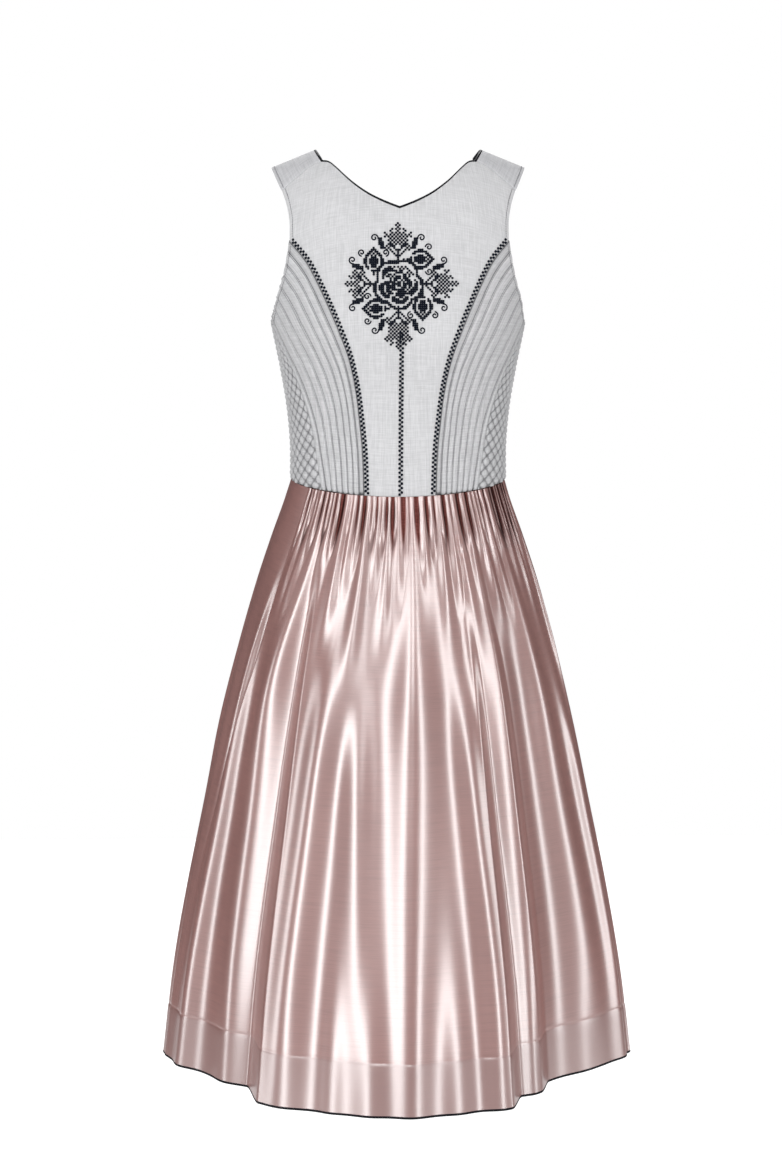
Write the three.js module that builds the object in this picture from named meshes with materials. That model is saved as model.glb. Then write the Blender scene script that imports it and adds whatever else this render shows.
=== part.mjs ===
// A sleeveless dirndl, filled out as if worn, in millimetres with +Z up. The front faces -Y.
// The origin is midway between the two shoulder straps, at the height of their neck edges.
import * as THREE from 'three';

// Driving sizes
const SEAM_GAP = 0.3;
const LINEN = 1.5; // wall of the plain bodice panels
const QUILT = 1.8; // wall of the quilted panels, without their raised pattern
const SATIN = 1.3; // wall of the skirt
const CHANNEL_COUNT = 7;
const CHANNEL_RISE = 1.1;
const DIAMOND_RISE = 1.1;
const PIPING_RADIUS = 1.1;
const HEM_EDGE = { high: 1.8, thick: 1.7 };

const degrees = THREE.MathUtils.degToRad;
const { lerp, clamp, smoothstep } = THREE.MathUtils;

// The bodice form, one row for each level
const SECTION_POWER = 2.3;
const CHEST_LEVEL = -95; // above it the form closes over the shoulders
const bodiceRings = [
  { level: -420, halfWidth: 124, front: 92, back: 86 },
  { level: -380, halfWidth: 124, front: 92, back: 86 },
  { level: -335, halfWidth: 124, front: 93, back: 84 },
  { level: -290, halfWidth: 128, front: 97, back: 85 },
  { level: -245, halfWidth: 135.5, front: 104, back: 88 },
  { level: -215, halfWidth: 141.5, front: 108, back: 91 },
  { level: -187, halfWidth: 146.5, front: 107, back: 93 },
  { level: -140, halfWidth: 150, front: 99, back: 92 },
  { level: -95, halfWidth: 152, front: 89, back: 87 },
  { level: -60, halfWidth: 152, front: 82, back: 80 },
  { level: 0, halfWidth: 152, front: 70, back: 68 },
  { level: 60, halfWidth: 152, front: 62, back: 60 },
];
const cupFullness = { depth: 10, out: 72, level: -205, wide: 42, high: 55 };
const shoulderSlope = { middle: 45, fall: 0.42, rounding: 30 };
const waistSeam = { sideLevel: -377, frontDip: 12.3, backDip: 3, roundness: 1.4 };

// Seams and edges of the right half, x out from the middle and z up, as seen from the front
const princessSeam = [
  { x: 40.6, z: -387.3 }, { x: 42.2, z: -339 }, { x: 45.6, z: -302 }, { x: 50, z: -266 },
  { x: 57.8, z: -230 }, { x: 71.3, z: -193 }, { x: 83.3, z: -165.5 }, { x: 96, z: -139 },
  { x: 106.9, z: -120 }, { x: 125.6, z: -98 },
];
const sideSeam = [
  { x: 83.8, z: -384.3 }, { x: 89, z: -349 }, { x: 96, z: -308 }, { x: 106, z: -275 },
  { x: 116, z: -250 }, { x: 128, z: -226 }, { x: 143.8, z: -192.5 },
];
const backSeam = [
  { x: 68, z: -379.5 }, { x: 73, z: -340 }, { x: 82, z: -290 }, { x: 97, z: -240 },
  { x: 116, z: -190 }, { x: 133.3, z: -144 },
];
const upperArmhole = [
  { x: 125.6, z: -98 }, { x: 125.6, z: -76 }, { x: 129.5, z: -56 }, { x: 134, z: -43 },
];
const lowerArmhole = [
  { x: 125.6, z: -98 }, { x: 128.5, z: -121 }, { x: 133.3, z: -144 }, { x: 140, z: -167 },
  { x: 143.8, z: -192.5 },
];
const backArmhole = [
  { x: 133.3, z: -144 }, { x: 128.5, z: -121 }, { x: 125.6, z: -98 }, { x: 125.6, z: -76 },
  { x: 129.5, z: -56 }, { x: 134, z: -43 },
];
const yokeSeam = [
  { x: 89.3, z: -9.5 }, { x: 103, z: -17 }, { x: 119, z: -30 }, { x: 134, z: -43 },
];
const frontNeckline = [
  { x: 0, z: -61.5 }, { x: 18, z: -54.5 }, { x: 36, z: -45.6 }, { x: 54.6, z: -32.5 },
  { x: 73, z: -15.8 }, { x: 80, z: -10.5 }, { x: 89.3, z: -9.5 },
];
const backNeckline = [
  { x: 0, z: -114 }, { x: 26, z: -110 }, { x: 49, z: -96 }, { x: 66, z: -72 },
  { x: 78, z: -44 }, { x: 89.3, z: -9.5 },
];
const underarm = { angle: 101, level: -205 }; // pull of the curve under the arm
const yokeTop = { neckX: 97, armX: 146 };

// The skirt form without its folds, one row for each share of the way from waist to hem
const skirtRings = [
  { share: 0, halfWidth: 124, front: 92, back: 86, drawnIn: 0 },
  { share: 0.035, halfWidth: 131, front: 100, back: 95, drawnIn: 0.1 },
  { share: 0.1, halfWidth: 147, front: 111, back: 108, drawnIn: 0.25 },
  { share: 0.18, halfWidth: 165, front: 122, back: 122, drawnIn: 0.4 },
  { share: 0.28, halfWidth: 184, front: 134, back: 136, drawnIn: 0.55 },
  { share: 0.42, halfWidth: 207, front: 147, back: 153, drawnIn: 0.7 },
  { share: 0.56, halfWidth: 227, front: 159, back: 168, drawnIn: 0.82 },
  { share: 0.7, halfWidth: 247, front: 170, back: 182, drawnIn: 0.9 },
  { share: 0.85, halfWidth: 265, front: 180, back: 195, drawnIn: 0.96 },
  { share: 1, halfWidth: 278, front: 188, back: 205, drawnIn: 1 },
];
const DRAWN_IN_POWER = 1.8; // the hem ring is flatter beside its ends than an ellipse
const hemLevel = { front: -1072, side: -1067, back: -1075 };

// The two skirt panels: where they start and end round the waist and the hem, in degrees
const skirtPanels = {
  front: { waist: [-58, 80], hem: [-82, 84], gathers: 44, topColumns: 88, columns: 56 },
  back: { waist: [80, 302], hem: [84, 278], gathers: 40, topColumns: 80, columns: 48 },
};
const GATHERED_ROWS = 4; // rows that carry the fine gathers
const gatherDepth = [
  { share: 0, depth: 0.7 }, { share: 0.035, depth: 1.5 }, { share: 0.1, depth: 1.9 },
  { share: 0.18, depth: 1.5 }, { share: 0.32, depth: 0 }, { share: 1, depth: 0 },
];
const plainBesideSeam = 0.17; // share of the back panel without gathers at each side

// Deep folds, where the cloth steps back: degrees round the skirt, depth at the hem
const steps = [
  { at: -37, width: 3.4, rise: 56, start: 0.1 },
  { at: 27, width: 3.2, rise: -40, start: 0.14 },
  { at: 35.8, width: 3.4, rise: -32, start: 0.02 },
  { at: 147, width: 3.6, rise: 44, start: 0.12 },
  { at: 214, width: 3.6, rise: -44, start: 0.1 },
];

// Soft folds: degrees round the skirt, half width, height at the hem, share where each begins
const folds = [
  { at: -67, width: 8, rise: 8, start: 0.1 },
  { at: -45, width: 5, rise: 6, start: 0.06 },
  { at: -28, width: 6, rise: 10, start: 0.16 },
  { at: -17, width: 4, rise: 8, start: 0.05 },
  { at: -7, width: 4, rise: 7, start: 0.3 },
  { at: 2, width: 5, rise: 9, start: 0.08 },
  { at: 13, width: 5, rise: 9, start: 0.12 },
  { at: 22.5, width: 4, rise: 9, start: 0.05 },
  { at: 31.5, width: 3, rise: 6, start: 0.2 },
  { at: 49, width: 7, rise: 8, start: 0.08 },
  { at: 67, width: 8, rise: 11, start: 0.14 },
  { at: 104, width: 8, rise: 10, start: 0.2 },
  { at: 122, width: 8, rise: 14, start: 0.08 },
  { at: 137, width: 5, rise: 10, start: 0.22 },
  { at: 152, width: 6, rise: 13, start: 0.1 },
  { at: 166, width: 5, rise: 10, start: 0.05 },
  { at: 178, width: 6, rise: 13, start: 0.14 },
  { at: 191, width: 5, rise: 11, start: 0.06 },
  { at: 205, width: 6, rise: 13, start: 0.2 },
  { at: 222, width: 5, rise: 8, start: 0.1 },
  { at: 237, width: 8, rise: 14, start: 0.06 },
  { at: 256, width: 7, rise: 10, start: 0.16 },
];

const materials = {
  linen: new THREE.MeshStandardMaterial({ color: 0xd6d5d8, roughness: 0.85 }),
  quilt: new THREE.MeshStandardMaterial({ color: 0xbdbcc0, roughness: 0.85 }),
  yoke: new THREE.MeshStandardMaterial({ color: 0xc4c3c7, roughness: 0.8 }),
  satin: new THREE.MeshStandardMaterial({ color: 0xc2a6a2, roughness: 0.35, metalness: 0.3 }),
  piping: new THREE.MeshStandardMaterial({ color: 0x17181c, roughness: 0.6 }),
};

// A smooth curve through one column of a table whose rows are sorted by key
function smoothColumn(rows, key, column, at) {
  const last = rows.length - 1;
  let i = 0;
  while (i < last - 1 && at > rows[i + 1][key]) i += 1;
  const slope = (k) => {
    const low = rows[Math.max(k - 1, 0)];
    const high = rows[Math.min(k + 1, last)];
    return (high[column] - low[column]) / (high[key] - low[key]);
  };
  const span = rows[i + 1][key] - rows[i][key];
  const t = clamp((at - rows[i][key]) / span, 0, 1);
  const square = t * t;
  const cube = square * t;
  return (2 * cube - 3 * square + 1) * rows[i][column]
    + (cube - 2 * square + t) * span * slope(i)
    + (3 * square - 2 * cube) * rows[i + 1][column]
    + (cube - square) * span * slope(i + 1);
}

// Angles run round the body from the front over +X to the back
function shoulderHeight(x) {
  const { middle, fall, rounding } = shoulderSlope;
  return middle - fall * Math.hypot(x, rounding);
}

function ringDepth(isFront, level) {
  return smoothColumn(bodiceRings, 'level', isFront ? 'front' : 'back', level);
}

function cupBulge(x, level, share) {
  const { depth, out, level: middle, wide, high } = cupFullness;
  const across = ((Math.abs(x) - out) / wide) ** 2;
  const along = ((level - middle) / high) ** 2;
  return depth * Math.exp(-across - along) * share;
}

function bodicePoint(angle, level) {
  const isFront = Math.cos(angle) > 0;
  const halfWidth = smoothColumn(bodiceRings, 'level', 'halfWidth', level);
  const depth = ringDepth(isFront, level);
  const across = (Math.abs(Math.sin(angle)) / halfWidth) ** SECTION_POWER;
  const along = (Math.abs(Math.cos(angle)) / depth) ** SECTION_POWER;
  const radius = (across + along) ** (-1 / SECTION_POWER);
  const x = radius * Math.sin(angle);
  let y = -radius * Math.cos(angle);
  const rise = Math.max(0, (level - CHEST_LEVEL) / (shoulderHeight(x) - CHEST_LEVEL));
  y *= Math.sqrt(Math.max(0, 1 - rise * rise));
  if (isFront) y -= cupBulge(x, level, -y / depth);
  return new THREE.Vector3(x, y, level);
}

function angleAt(x, level, isFront) {
  const halfWidth = smoothColumn(bodiceRings, 'level', 'halfWidth', level);
  const share = Math.min(1, Math.abs(x) / halfWidth);
  const y = ringDepth(isFront, level) * (1 - share ** SECTION_POWER) ** (1 / SECTION_POWER);
  const fromFront = Math.atan2(x, y);
  return isFront ? fromFront : Math.PI - fromFront;
}

function waistLevel(angle) {
  const facing = Math.cos(angle);
  const dip = facing > 0 ? waistSeam.frontDip : waistSeam.backDip;
  return waistSeam.sideLevel - dip * Math.abs(facing) ** waistSeam.roundness;
}

function normalOf(surface, a, b, stepA, stepB) {
  const alongA = surface(a + stepA, b).sub(surface(a - stepA, b));
  const alongB = surface(a, b + stepB).sub(surface(a, b - stepB));
  return alongA.cross(alongB).normalize();
}

// Edge curves, as functions from a share of their length to an angle and a level
function onWaist(points, isFront) {
  const [foot, ...rest] = points;
  return [{ x: foot.x, z: waistLevel(angleAt(foot.x, foot.z, isFront)) }, ...rest];
}

function throughPoints(points, isFront) {
  const curve = new THREE.CatmullRomCurve3(
    points.map((p) => new THREE.Vector3(p.x, 0, p.z)), false, 'centripetal');
  return (share) => {
    const p = curve.getPointAt(clamp(share, 0, 1));
    return { angle: angleAt(p.x, p.z, isFront), level: p.z };
  };
}

// The same curve through a few of its points only, so that both panels beside it agree
function inSteps(curve, count) {
  return (share) => {
    const at = clamp(share, 0, 1) * count;
    const k = Math.min(Math.floor(at), count - 1);
    const low = curve(k / count);
    const high = curve((k + 1) / count);
    return {
      angle: lerp(low.angle, high.angle, at - k),
      level: lerp(low.level, high.level, at - k),
    };
  };
}

function chained(first, second, joint) {
  return (share) => (share <= joint
    ? first(share / joint)
    : second((share - joint) / (1 - joint)));
}

function reversed(curve) {
  return (share) => curve(1 - share);
}

function mirrored(curve) {
  return (share) => {
    const p = curve(share);
    return { angle: -p.angle, level: p.level };
  };
}

function alongWaist(from, to) {
  return (share) => {
    const angle = lerp(from, to, share);
    return { angle, level: waistLevel(angle) };
  };
}

// A panel fills its four edges; every edge is drawn back by half of its seam's gap
function filledPatch({ left, right, bottom, top }) {
  return (u, v) => {
    const blend = (key) => (1 - v) * bottom(u)[key] + v * top(u)[key]
      + (1 - u) * left(v)[key] + u * right(v)[key]
      - (1 - u) * ((1 - v) * bottom(0)[key] + v * top(0)[key])
      - u * ((1 - v) * bottom(1)[key] + v * top(1)[key]);
    return { angle: blend('angle'), level: blend('level') };
  };
}

// The share of a patch's width or height that half of the seam's gap takes at one edge
function seamInset(place, u, v, acrossU) {
  const step = 0.01;
  const su = u > 0.5 ? -step : step;
  const sv = v > 0.5 ? -step : step;
  const alongU = place(u + su, v).sub(place(u, v)).divideScalar(step);
  const alongV = place(u, v + sv).sub(place(u, v)).divideScalar(step);
  const area = new THREE.Vector3().crossVectors(alongU, alongV).length();
  return (SEAM_GAP / 2) * (acrossU ? alongV : alongU).length() / area;
}

function panelPoints(patch, { columns, rows, wall, relief }) {
  const place = (u, v) => {
    const p = patch(u, v);
    return bodicePoint(p.angle, p.level);
  };
  const outer = [];
  const inner = [];
  for (let j = 0; j <= rows; j += 1) {
    const outerRow = [];
    const innerRow = [];
    for (let i = 0; i <= columns; i += 1) {
      const u0 = i / columns;
      const v0 = j / rows;
      const low = seamInset(place, 0, v0, true);
      const high = seamInset(place, 1, v0, true);
      const under = seamInset(place, u0, 0, false);
      const over = seamInset(place, u0, 1, false);
      const p = patch(lerp(low, 1 - high, u0), lerp(under, 1 - over, v0));
      const normal = normalOf(bodicePoint, p.angle, p.level, 0.002, 0.3);
      const base = bodicePoint(p.angle, p.level);
      const rise = relief ? relief(i, j, u0, v0) : 0;
      outerRow.push(base.clone().addScaledVector(normal, rise));
      innerRow.push(base.clone().addScaledVector(normal, -wall));
    }
    outer.push(outerRow);
    inner.push(innerRow);
  }
  return { outer, inner };
}

// Two rows of points joined by triangles; either row may have more points
function joinRows(triangles, low, high, flip, leans) {
  let i = 0;
  let j = 0;
  while (i < low.length - 1 || j < high.length - 1) {
    const nextLow = (i + 1) / (low.length - 1);
    const nextHigh = (j + 1) / (high.length - 1);
    const even = Math.abs(nextLow - nextHigh) < 1e-9;
    const stepsLow = j === high.length - 1
      || (i < low.length - 1 && (even ? !(leans && leans(i)) : nextLow < nextHigh));
    const corners = stepsLow ? [low[i], low[i + 1], high[j]] : [low[i], high[j + 1], high[j]];
    if (flip) corners.reverse();
    triangles.push(corners);
    if (stepsLow) i += 1;
    else j += 1;
  }
}

function closedMesh(name, material, triangles) {
  const positions = [];
  triangles.forEach((corners) => corners.forEach((p) => positions.push(p.x, p.y, p.z)));
  const geometry = new THREE.BufferGeometry();
  geometry.setAttribute('position', new THREE.Float32BufferAttribute(positions, 3));
  geometry.computeVertexNormals();
  const mesh = new THREE.Mesh(geometry, material);
  mesh.name = name;
  return mesh;
}

// A wall from its outer and inner rows, closed round its four edges
function wallMesh(name, material, { outer, inner }, leans) {
  const triangles = [];
  const first = (row) => row[0];
  const final = (row) => row[row.length - 1];
  for (let j = 0; j < outer.length - 1; j += 1) {
    joinRows(triangles, outer[j], outer[j + 1], false, leans && ((i) => leans(i, j)));
  }
  for (let j = 0; j < inner.length - 1; j += 1) {
    joinRows(triangles, inner[j], inner[j + 1], true);
  }
  joinRows(triangles, outer[0], inner[0], true);
  joinRows(triangles, final(outer), final(inner), false);
  joinRows(triangles, outer.map(first), inner.map(first), false);
  joinRows(triangles, outer.map(final), inner.map(final), true);
  return closedMesh(name, material, triangles);
}

function mirroredRows(rows) {
  return rows.map((row) => row.map((p) => new THREE.Vector3(-p.x, p.y, p.z)).reverse());
}

// The plain inner face needs fewer points, but keeps all of them along its top and bottom
function thinned(rows, everyColumn, everyRow) {
  const last = rows.length - 1;
  return rows.map((row, j) => (j === 0 || j === last
    ? row : row.filter((p, i) => i % everyColumn === 0)))
    .filter((row, j) => j % everyRow === 0);
}

function bothSides(name, material, points, columns, leans) {
  const mirror = { outer: mirroredRows(points.outer), inner: mirroredRows(points.inner) };
  const mirrorLeans = leans && ((i, j) => !leans(columns - 1 - i, j));
  return [
    wallMesh(`${name}_right`, material, points, leans),
    wallMesh(`${name}_left`, material, mirror, mirrorLeans),
  ];
}

// Bodice panels
const SEAM_ROWS = 11; // rows along each upright seam, the same on both panels beside it
const edges = {
  princess: throughPoints(onWaist(princessSeam, true), true),
  side: inSteps(throughPoints(onWaist(sideSeam, true), true), SEAM_ROWS),
  back: inSteps(throughPoints(onWaist(backSeam, false), false), SEAM_ROWS),
  upperArmhole: throughPoints(upperArmhole, true),
  lowerArmhole: throughPoints(lowerArmhole, true),
  backArmhole: throughPoints(backArmhole, false),
  yokeFront: throughPoints(yokeSeam, true),
  yokeBack: throughPoints(yokeSeam, false),
  neckFront: throughPoints(frontNeckline, true),
  neckBack: throughPoints(backNeckline, false),
};

const FRONT_COLUMNS = 24;
const FRONT_ROWS = SEAM_ROWS + 3;
const YOKE_SHARE = 4 / FRONT_COLUMNS; // share of the front's top edge along each yoke
const ARMHOLE_SHARE = SEAM_ROWS / FRONT_ROWS; // share of the height where the armhole starts

function frontCentrePoints() {
  const right = chained(edges.princess, edges.upperArmhole, ARMHOLE_SHARE);
  const halfTop = chained(edges.neckFront, edges.yokeFront, 1 - 2 * YOKE_SHARE);
  const top = (u) => (u < 0.5 ? mirrored(halfTop)(1 - 2 * u) : halfTop(2 * u - 1));
  const corner = edges.princess(0);
  return panelPoints(filledPatch({
    left: mirrored(right),
    right,
    bottom: alongWaist(-corner.angle, corner.angle),
    top,
  }), {
    columns: FRONT_COLUMNS,
    rows: FRONT_ROWS,
    wall: LINEN,
  });
}

const CHANNEL_COLUMNS = 4 * CHANNEL_COUNT;

function sideFrontPoints() {
  return panelPoints(filledPatch({
    left: edges.princess,
    right: edges.side,
    bottom: alongWaist(edges.princess(0).angle, edges.side(0).angle),
    top: edges.lowerArmhole,
  }), {
    columns: CHANNEL_COLUMNS,
    rows: SEAM_ROWS,
    wall: QUILT,
    relief: (i, j, u) => CHANNEL_RISE * Math.abs(Math.sin(Math.PI * CHANNEL_COUNT * u)) ** 0.7,
  });
}

const DIAMOND_COLUMNS = 24;
const DIAMOND_ROWS = 3 * SEAM_ROWS;

function sidePoints() {
  const front = edges.side(1);
  const back = edges.back(1);
  const under = new THREE.QuadraticBezierCurve(
    new THREE.Vector2(front.angle, front.level),
    new THREE.Vector2(degrees(underarm.angle), underarm.level),
    new THREE.Vector2(back.angle, back.level));
  return panelPoints(filledPatch({
    left: edges.side,
    right: edges.back,
    bottom: alongWaist(edges.side(0).angle, edges.back(0).angle),
    top: (u) => {
      const p = under.getPoint(u);
      return { angle: p.x, level: p.y };
    },
  }), {
    columns: DIAMOND_COLUMNS,
    rows: DIAMOND_ROWS,
    wall: QUILT,
    relief: (i, j) => ((i + j) % 2 ? DIAMOND_RISE : 0),
  });
}

const BACK_COLUMNS = 12;
const BACK_ROWS = SEAM_ROWS + 3;

function backPoints() {
  const outerEdge = chained(edges.back, edges.backArmhole, SEAM_ROWS / BACK_ROWS);
  const top = chained(reversed(edges.yokeBack), reversed(edges.neckBack), 3 / BACK_COLUMNS);
  const middle = { angle: Math.PI, level: edges.neckBack(0).level };
  const waist = waistLevel(Math.PI);
  return panelPoints(filledPatch({
    left: outerEdge,
    right: (v) => ({ angle: Math.PI, level: lerp(waist, middle.level, v) }),
    bottom: alongWaist(edges.back(0).angle, Math.PI),
    top,
  }), {
    columns: BACK_COLUMNS,
    rows: BACK_ROWS,
    wall: LINEN,
  });
}

// The shoulder yoke arches over the shoulder between the same seam line in front and behind
const YOKE_COLUMNS = 4;
const YOKE_ROWS = 10;

function yokePlace(x, turn) {
  const level = CHEST_LEVEL + (shoulderHeight(x) - CHEST_LEVEL) * Math.sin(turn);
  const isFront = Math.cos(turn) > 0;
  const halfWidth = smoothColumn(bodiceRings, 'level', 'halfWidth', level);
  const share = Math.min(1, Math.abs(x) / halfWidth) ** SECTION_POWER;
  const depth = ringDepth(isFront, level) * (1 - share) ** (1 / SECTION_POWER);
  const y = -depth * Math.cos(turn);
  const bulge = isFront ? cupBulge(x, level, -y / ringDepth(true, level)) : 0;
  return new THREE.Vector3(x, y - bulge, level);
}

function yokePoints() {
  const seam = new THREE.CatmullRomCurve3(
    yokeSeam.map((p) => new THREE.Vector3(p.x, 0, p.z)), false, 'centripetal');
  const across = yokeTop.armX - yokeTop.neckX;
  const placeAt = (u, v) => {
    const p = seam.getPointAt(u);
    const start = Math.asin((p.z - CHEST_LEVEL) / (shoulderHeight(p.x) - CHEST_LEVEL));
    return {
      x: lerp(p.x, yokeTop.neckX + across * u, 1 - (2 * v - 1) ** 2),
      turn: lerp(start, Math.PI - start, v),
    };
  };
  const place = (u, v) => {
    const p = placeAt(u, v);
    return yokePlace(p.x, p.turn);
  };
  const outer = [];
  const inner = [];
  for (let j = 0; j <= YOKE_ROWS; j += 1) {
    const outerRow = [];
    const innerRow = [];
    for (let i = 0; i <= YOKE_COLUMNS; i += 1) {
      const u = i / YOKE_COLUMNS;
      const low = seamInset(place, u, 0, false);
      const high = seamInset(place, u, 1, false);
      const p = placeAt(u, lerp(low, 1 - high, j / YOKE_ROWS));
      const normal = normalOf(yokePlace, p.x, p.turn, 0.3, 0.004);
      const base = yokePlace(p.x, p.turn);
      outerRow.push(base.clone());
      innerRow.push(base.addScaledVector(normal, -LINEN));
    }
    outer.push(outerRow);
    inner.push(innerRow);
  }
  return { outer, inner };
}

// A closed cord of piping along an edge: each stop has the edge's outer and inner point
// and a neighbour further down the panel
function pipingMesh(name, material, stops, radius, sides) {
  const rings = stops.map(({ outside, inside, below }) => {
    const up = outside.clone().sub(below);
    const outward = outside.clone().sub(inside).normalize();
    up.addScaledVector(outward, -up.dot(outward)).normalize();
    const centre = outside.clone().add(inside).multiplyScalar(0.5)
      .addScaledVector(up, radius + SEAM_GAP);
    const ring = [];
    for (let k = 0; k < sides; k += 1) {
      const turn = (2 * Math.PI * (k + 0.5)) / sides;
      ring.push(centre.clone().addScaledVector(up, radius * Math.cos(turn))
        .addScaledVector(outward, radius * Math.sin(turn)));
    }
    return ring;
  });
  return loopMesh(name, material, rings);
}

function loopMesh(name, material, rings) {
  const triangles = [];
  rings.forEach((ring, i) => {
    const next = rings[(i + 1) % rings.length];
    joinRows(triangles, [...ring, ring[0]], [...next, next[0]], false);
  });
  return closedMesh(name, material, triangles);
}

// Skirt
function degreesFrom(at, angle) {
  return ((THREE.MathUtils.radToDeg(angle) - at + 540) % 360) - 180;
}

function foldHeight(angle, share) {
  let height = 0;
  folds.forEach(({ at, width, rise, start }) => {
    const grown = smoothstep(share, start, 1) ** 0.7;
    height += rise * grown * Math.exp(-1.6 * (degreesFrom(at, angle) / width) ** 2);
  });
  return height;
}

// How far the deep folds bring the cloth out to the front, or out behind
function stepDepth(angle, share) {
  const isFront = Math.abs(degreesFrom(0, angle)) < 90;
  let depth = 0;
  steps.forEach(({ at, width, rise, start }) => {
    if (isFront !== Math.abs(at) < 90) return;
    const grown = Math.max(0, (share - start) / (1 - start)) ** 1.1;
    depth += rise * grown * smoothstep(degreesFrom(at, angle), -width / 2, width / 2);
  });
  const fade = smoothstep(Math.abs(Math.cos(angle)), 0, 0.5);
  return (isFront ? -depth : depth) * fade;
}

function skirtBase(angle, share) {
  const column = (name) => smoothColumn(skirtRings, 'share', name, share);
  const isFront = Math.cos(angle) > 0;
  const sine = Math.abs(Math.sin(angle));
  const cosine = Math.abs(Math.cos(angle));
  const round = (1 - sine ** SECTION_POWER) ** (1 / SECTION_POWER);
  const drawn = cosine ** DRAWN_IN_POWER;
  const depth = column(isFront ? 'front' : 'back') * lerp(round, drawn, column('drawnIn'));
  const hem = lerp(hemLevel.side, isFront ? hemLevel.front : hemLevel.back, cosine);
  return new THREE.Vector3(
    column('halfWidth') * Math.sin(angle),
    isFront ? -depth : depth,
    lerp(waistLevel(angle), hem, share));
}

function panelAngle(panel, across, share) {
  return degrees(lerp(
    lerp(panel.waist[0], panel.waist[1], across),
    lerp(panel.hem[0], panel.hem[1], across),
    smoothstep(share, 0, 1)));
}

function skirtPoint(panel, across, share) {
  const angle = panelAngle(panel, across, share);
  const normal = normalOf(skirtBase, angle, clamp(share, 0.01, 0.99), 0.01, 0.01).negate();
  const isBack = panel === skirtPanels.back;
  const besideSeam = Math.min(across, 1 - across);
  const gathered = isBack ? smoothstep(besideSeam, plainBesideSeam - 0.04, plainBesideSeam) : 1;
  const fine = smoothColumn(gatherDepth, 'share', 'depth', share) * gathered
    * Math.cos(2 * Math.PI * panel.gathers * across);
  const edge = smoothstep(besideSeam, 0, 0.02);
  return skirtBase(angle, share)
    .addScaledVector(normal, (foldHeight(angle, share) + fine) * edge)
    .add(new THREE.Vector3(0, stepDepth(angle, share), 0));
}

function skirtPanelPoints(panel) {
  const outer = [];
  const inner = [];
  skirtRings.forEach(({ share }, j) => {
    const columns = j < GATHERED_ROWS ? panel.topColumns : panel.columns;
    const gapShare = SEAM_GAP / 2 / lerp(300, 560, share);
    const outerRow = [];
    const innerRow = [];
    const top = j === 0 ? SEAM_GAP / 2 / 690 : 0;
    for (let i = 0; i <= columns; i += 1) {
      const across = lerp(gapShare, 1 - gapShare, i / columns);
      const here = Math.max(share, top);
      const surface = (a, b) => skirtPoint(panel, a, b);
      const half = 0.5 / columns;
      const atSeam = i === 0 || i === columns;
      const level = clamp(here, 0.01, 0.99);
      const normal = atSeam
        ? normalOf(skirtBase, panelAngle(panel, i / columns, share), level, 0.01, 0.01)
        : normalOf(surface, across, level, half, 0.01);
      normal.negate();
      const point = skirtPoint(panel, across, here);
      outerRow.push(point);
      innerRow.push(point.clone().addScaledVector(normal, -SATIN));
    }
    outer.unshift(outerRow);
    inner.unshift(innerRow);
  });
  return { outer, inner };
}

// The narrow edging that closes the hem, just under the skirt's lower edge
function hemEdgeMesh(name, material, panels) {
  const rings = [];
  panels.forEach(({ outer, inner }) => {
    outer[0].forEach((outside, i) => {
      const outward = outside.clone().sub(inner[0][i]).normalize();
      const middle = outside.clone().add(inner[0][i]).multiplyScalar(0.5);
      const corner = (side, drop) => middle.clone()
        .addScaledVector(outward, (side * HEM_EDGE.thick) / 2)
        .add(new THREE.Vector3(0, 0, -SEAM_GAP - drop));
      rings.push([
        corner(1, HEM_EDGE.high), corner(1, 0), corner(-1, 0), corner(-1, HEM_EDGE.high),
      ].reverse());
    });
  });
  return loopMesh(name, material, rings);
}

// Assembly
const dirndl = new THREE.Group();

const front = frontCentrePoints();
const sideFront = sideFrontPoints();
const side = sidePoints();
const back = backPoints();
const yoke = yokePoints();

dirndl.add(wallMesh('front_centre', materials.linen,
  { outer: front.outer, inner: thinned(front.inner, 2, 1) }));
dirndl.add(...bothSides('side_front', materials.quilt,
  { outer: sideFront.outer, inner: thinned(sideFront.inner, 4, 1) }, CHANNEL_COLUMNS));
dirndl.add(...bothSides('side', materials.quilt,
  { outer: side.outer, inner: thinned(side.inner, 4, 3) }, DIAMOND_COLUMNS,
  (i, j) => (i + j) % 2 === 1));
dirndl.add(...bothSides('back', materials.linen,
  { outer: back.outer, inner: thinned(back.inner, 2, 1) }, BACK_COLUMNS));
dirndl.add(...bothSides('shoulder_yoke', materials.yoke, yoke, YOKE_COLUMNS));

// Stops along the neckline, from the front's left yoke round over the right one and back
function neckStops() {
  const yokeColumns = FRONT_COLUMNS * YOKE_SHARE;
  const topOf = (points, from, to) => {
    const last = points.outer.length - 1;
    const stops = [];
    for (let i = from; i <= to; i += 1) {
      stops.push({
        outside: points.outer[last][i],
        inside: points.inner[last][i],
        below: points.outer[last - 1][i],
      });
    }
    return stops;
  };
  const overShoulder = yoke.outer.map((row, j) => ({
    outside: row[0], inside: yoke.inner[j][0], below: row[1],
  }));
  const mirror = (stops) => stops.map(({ outside, inside, below }) => {
    const flip = (p) => new THREE.Vector3(-p.x, p.y, p.z);
    return { outside: flip(outside), inside: flip(inside), below: flip(below) };
  }).reverse();
  const half = [
    ...topOf(front, FRONT_COLUMNS / 2 + 1, FRONT_COLUMNS - yokeColumns),
    ...overShoulder,
    ...topOf(back, 3, BACK_COLUMNS),
  ];
  return [...topOf(front, FRONT_COLUMNS / 2, FRONT_COLUMNS / 2), ...half, ...mirror(half)];
}

dirndl.add(pipingMesh('neck_piping', materials.piping, neckStops(), PIPING_RADIUS, 5));

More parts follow.
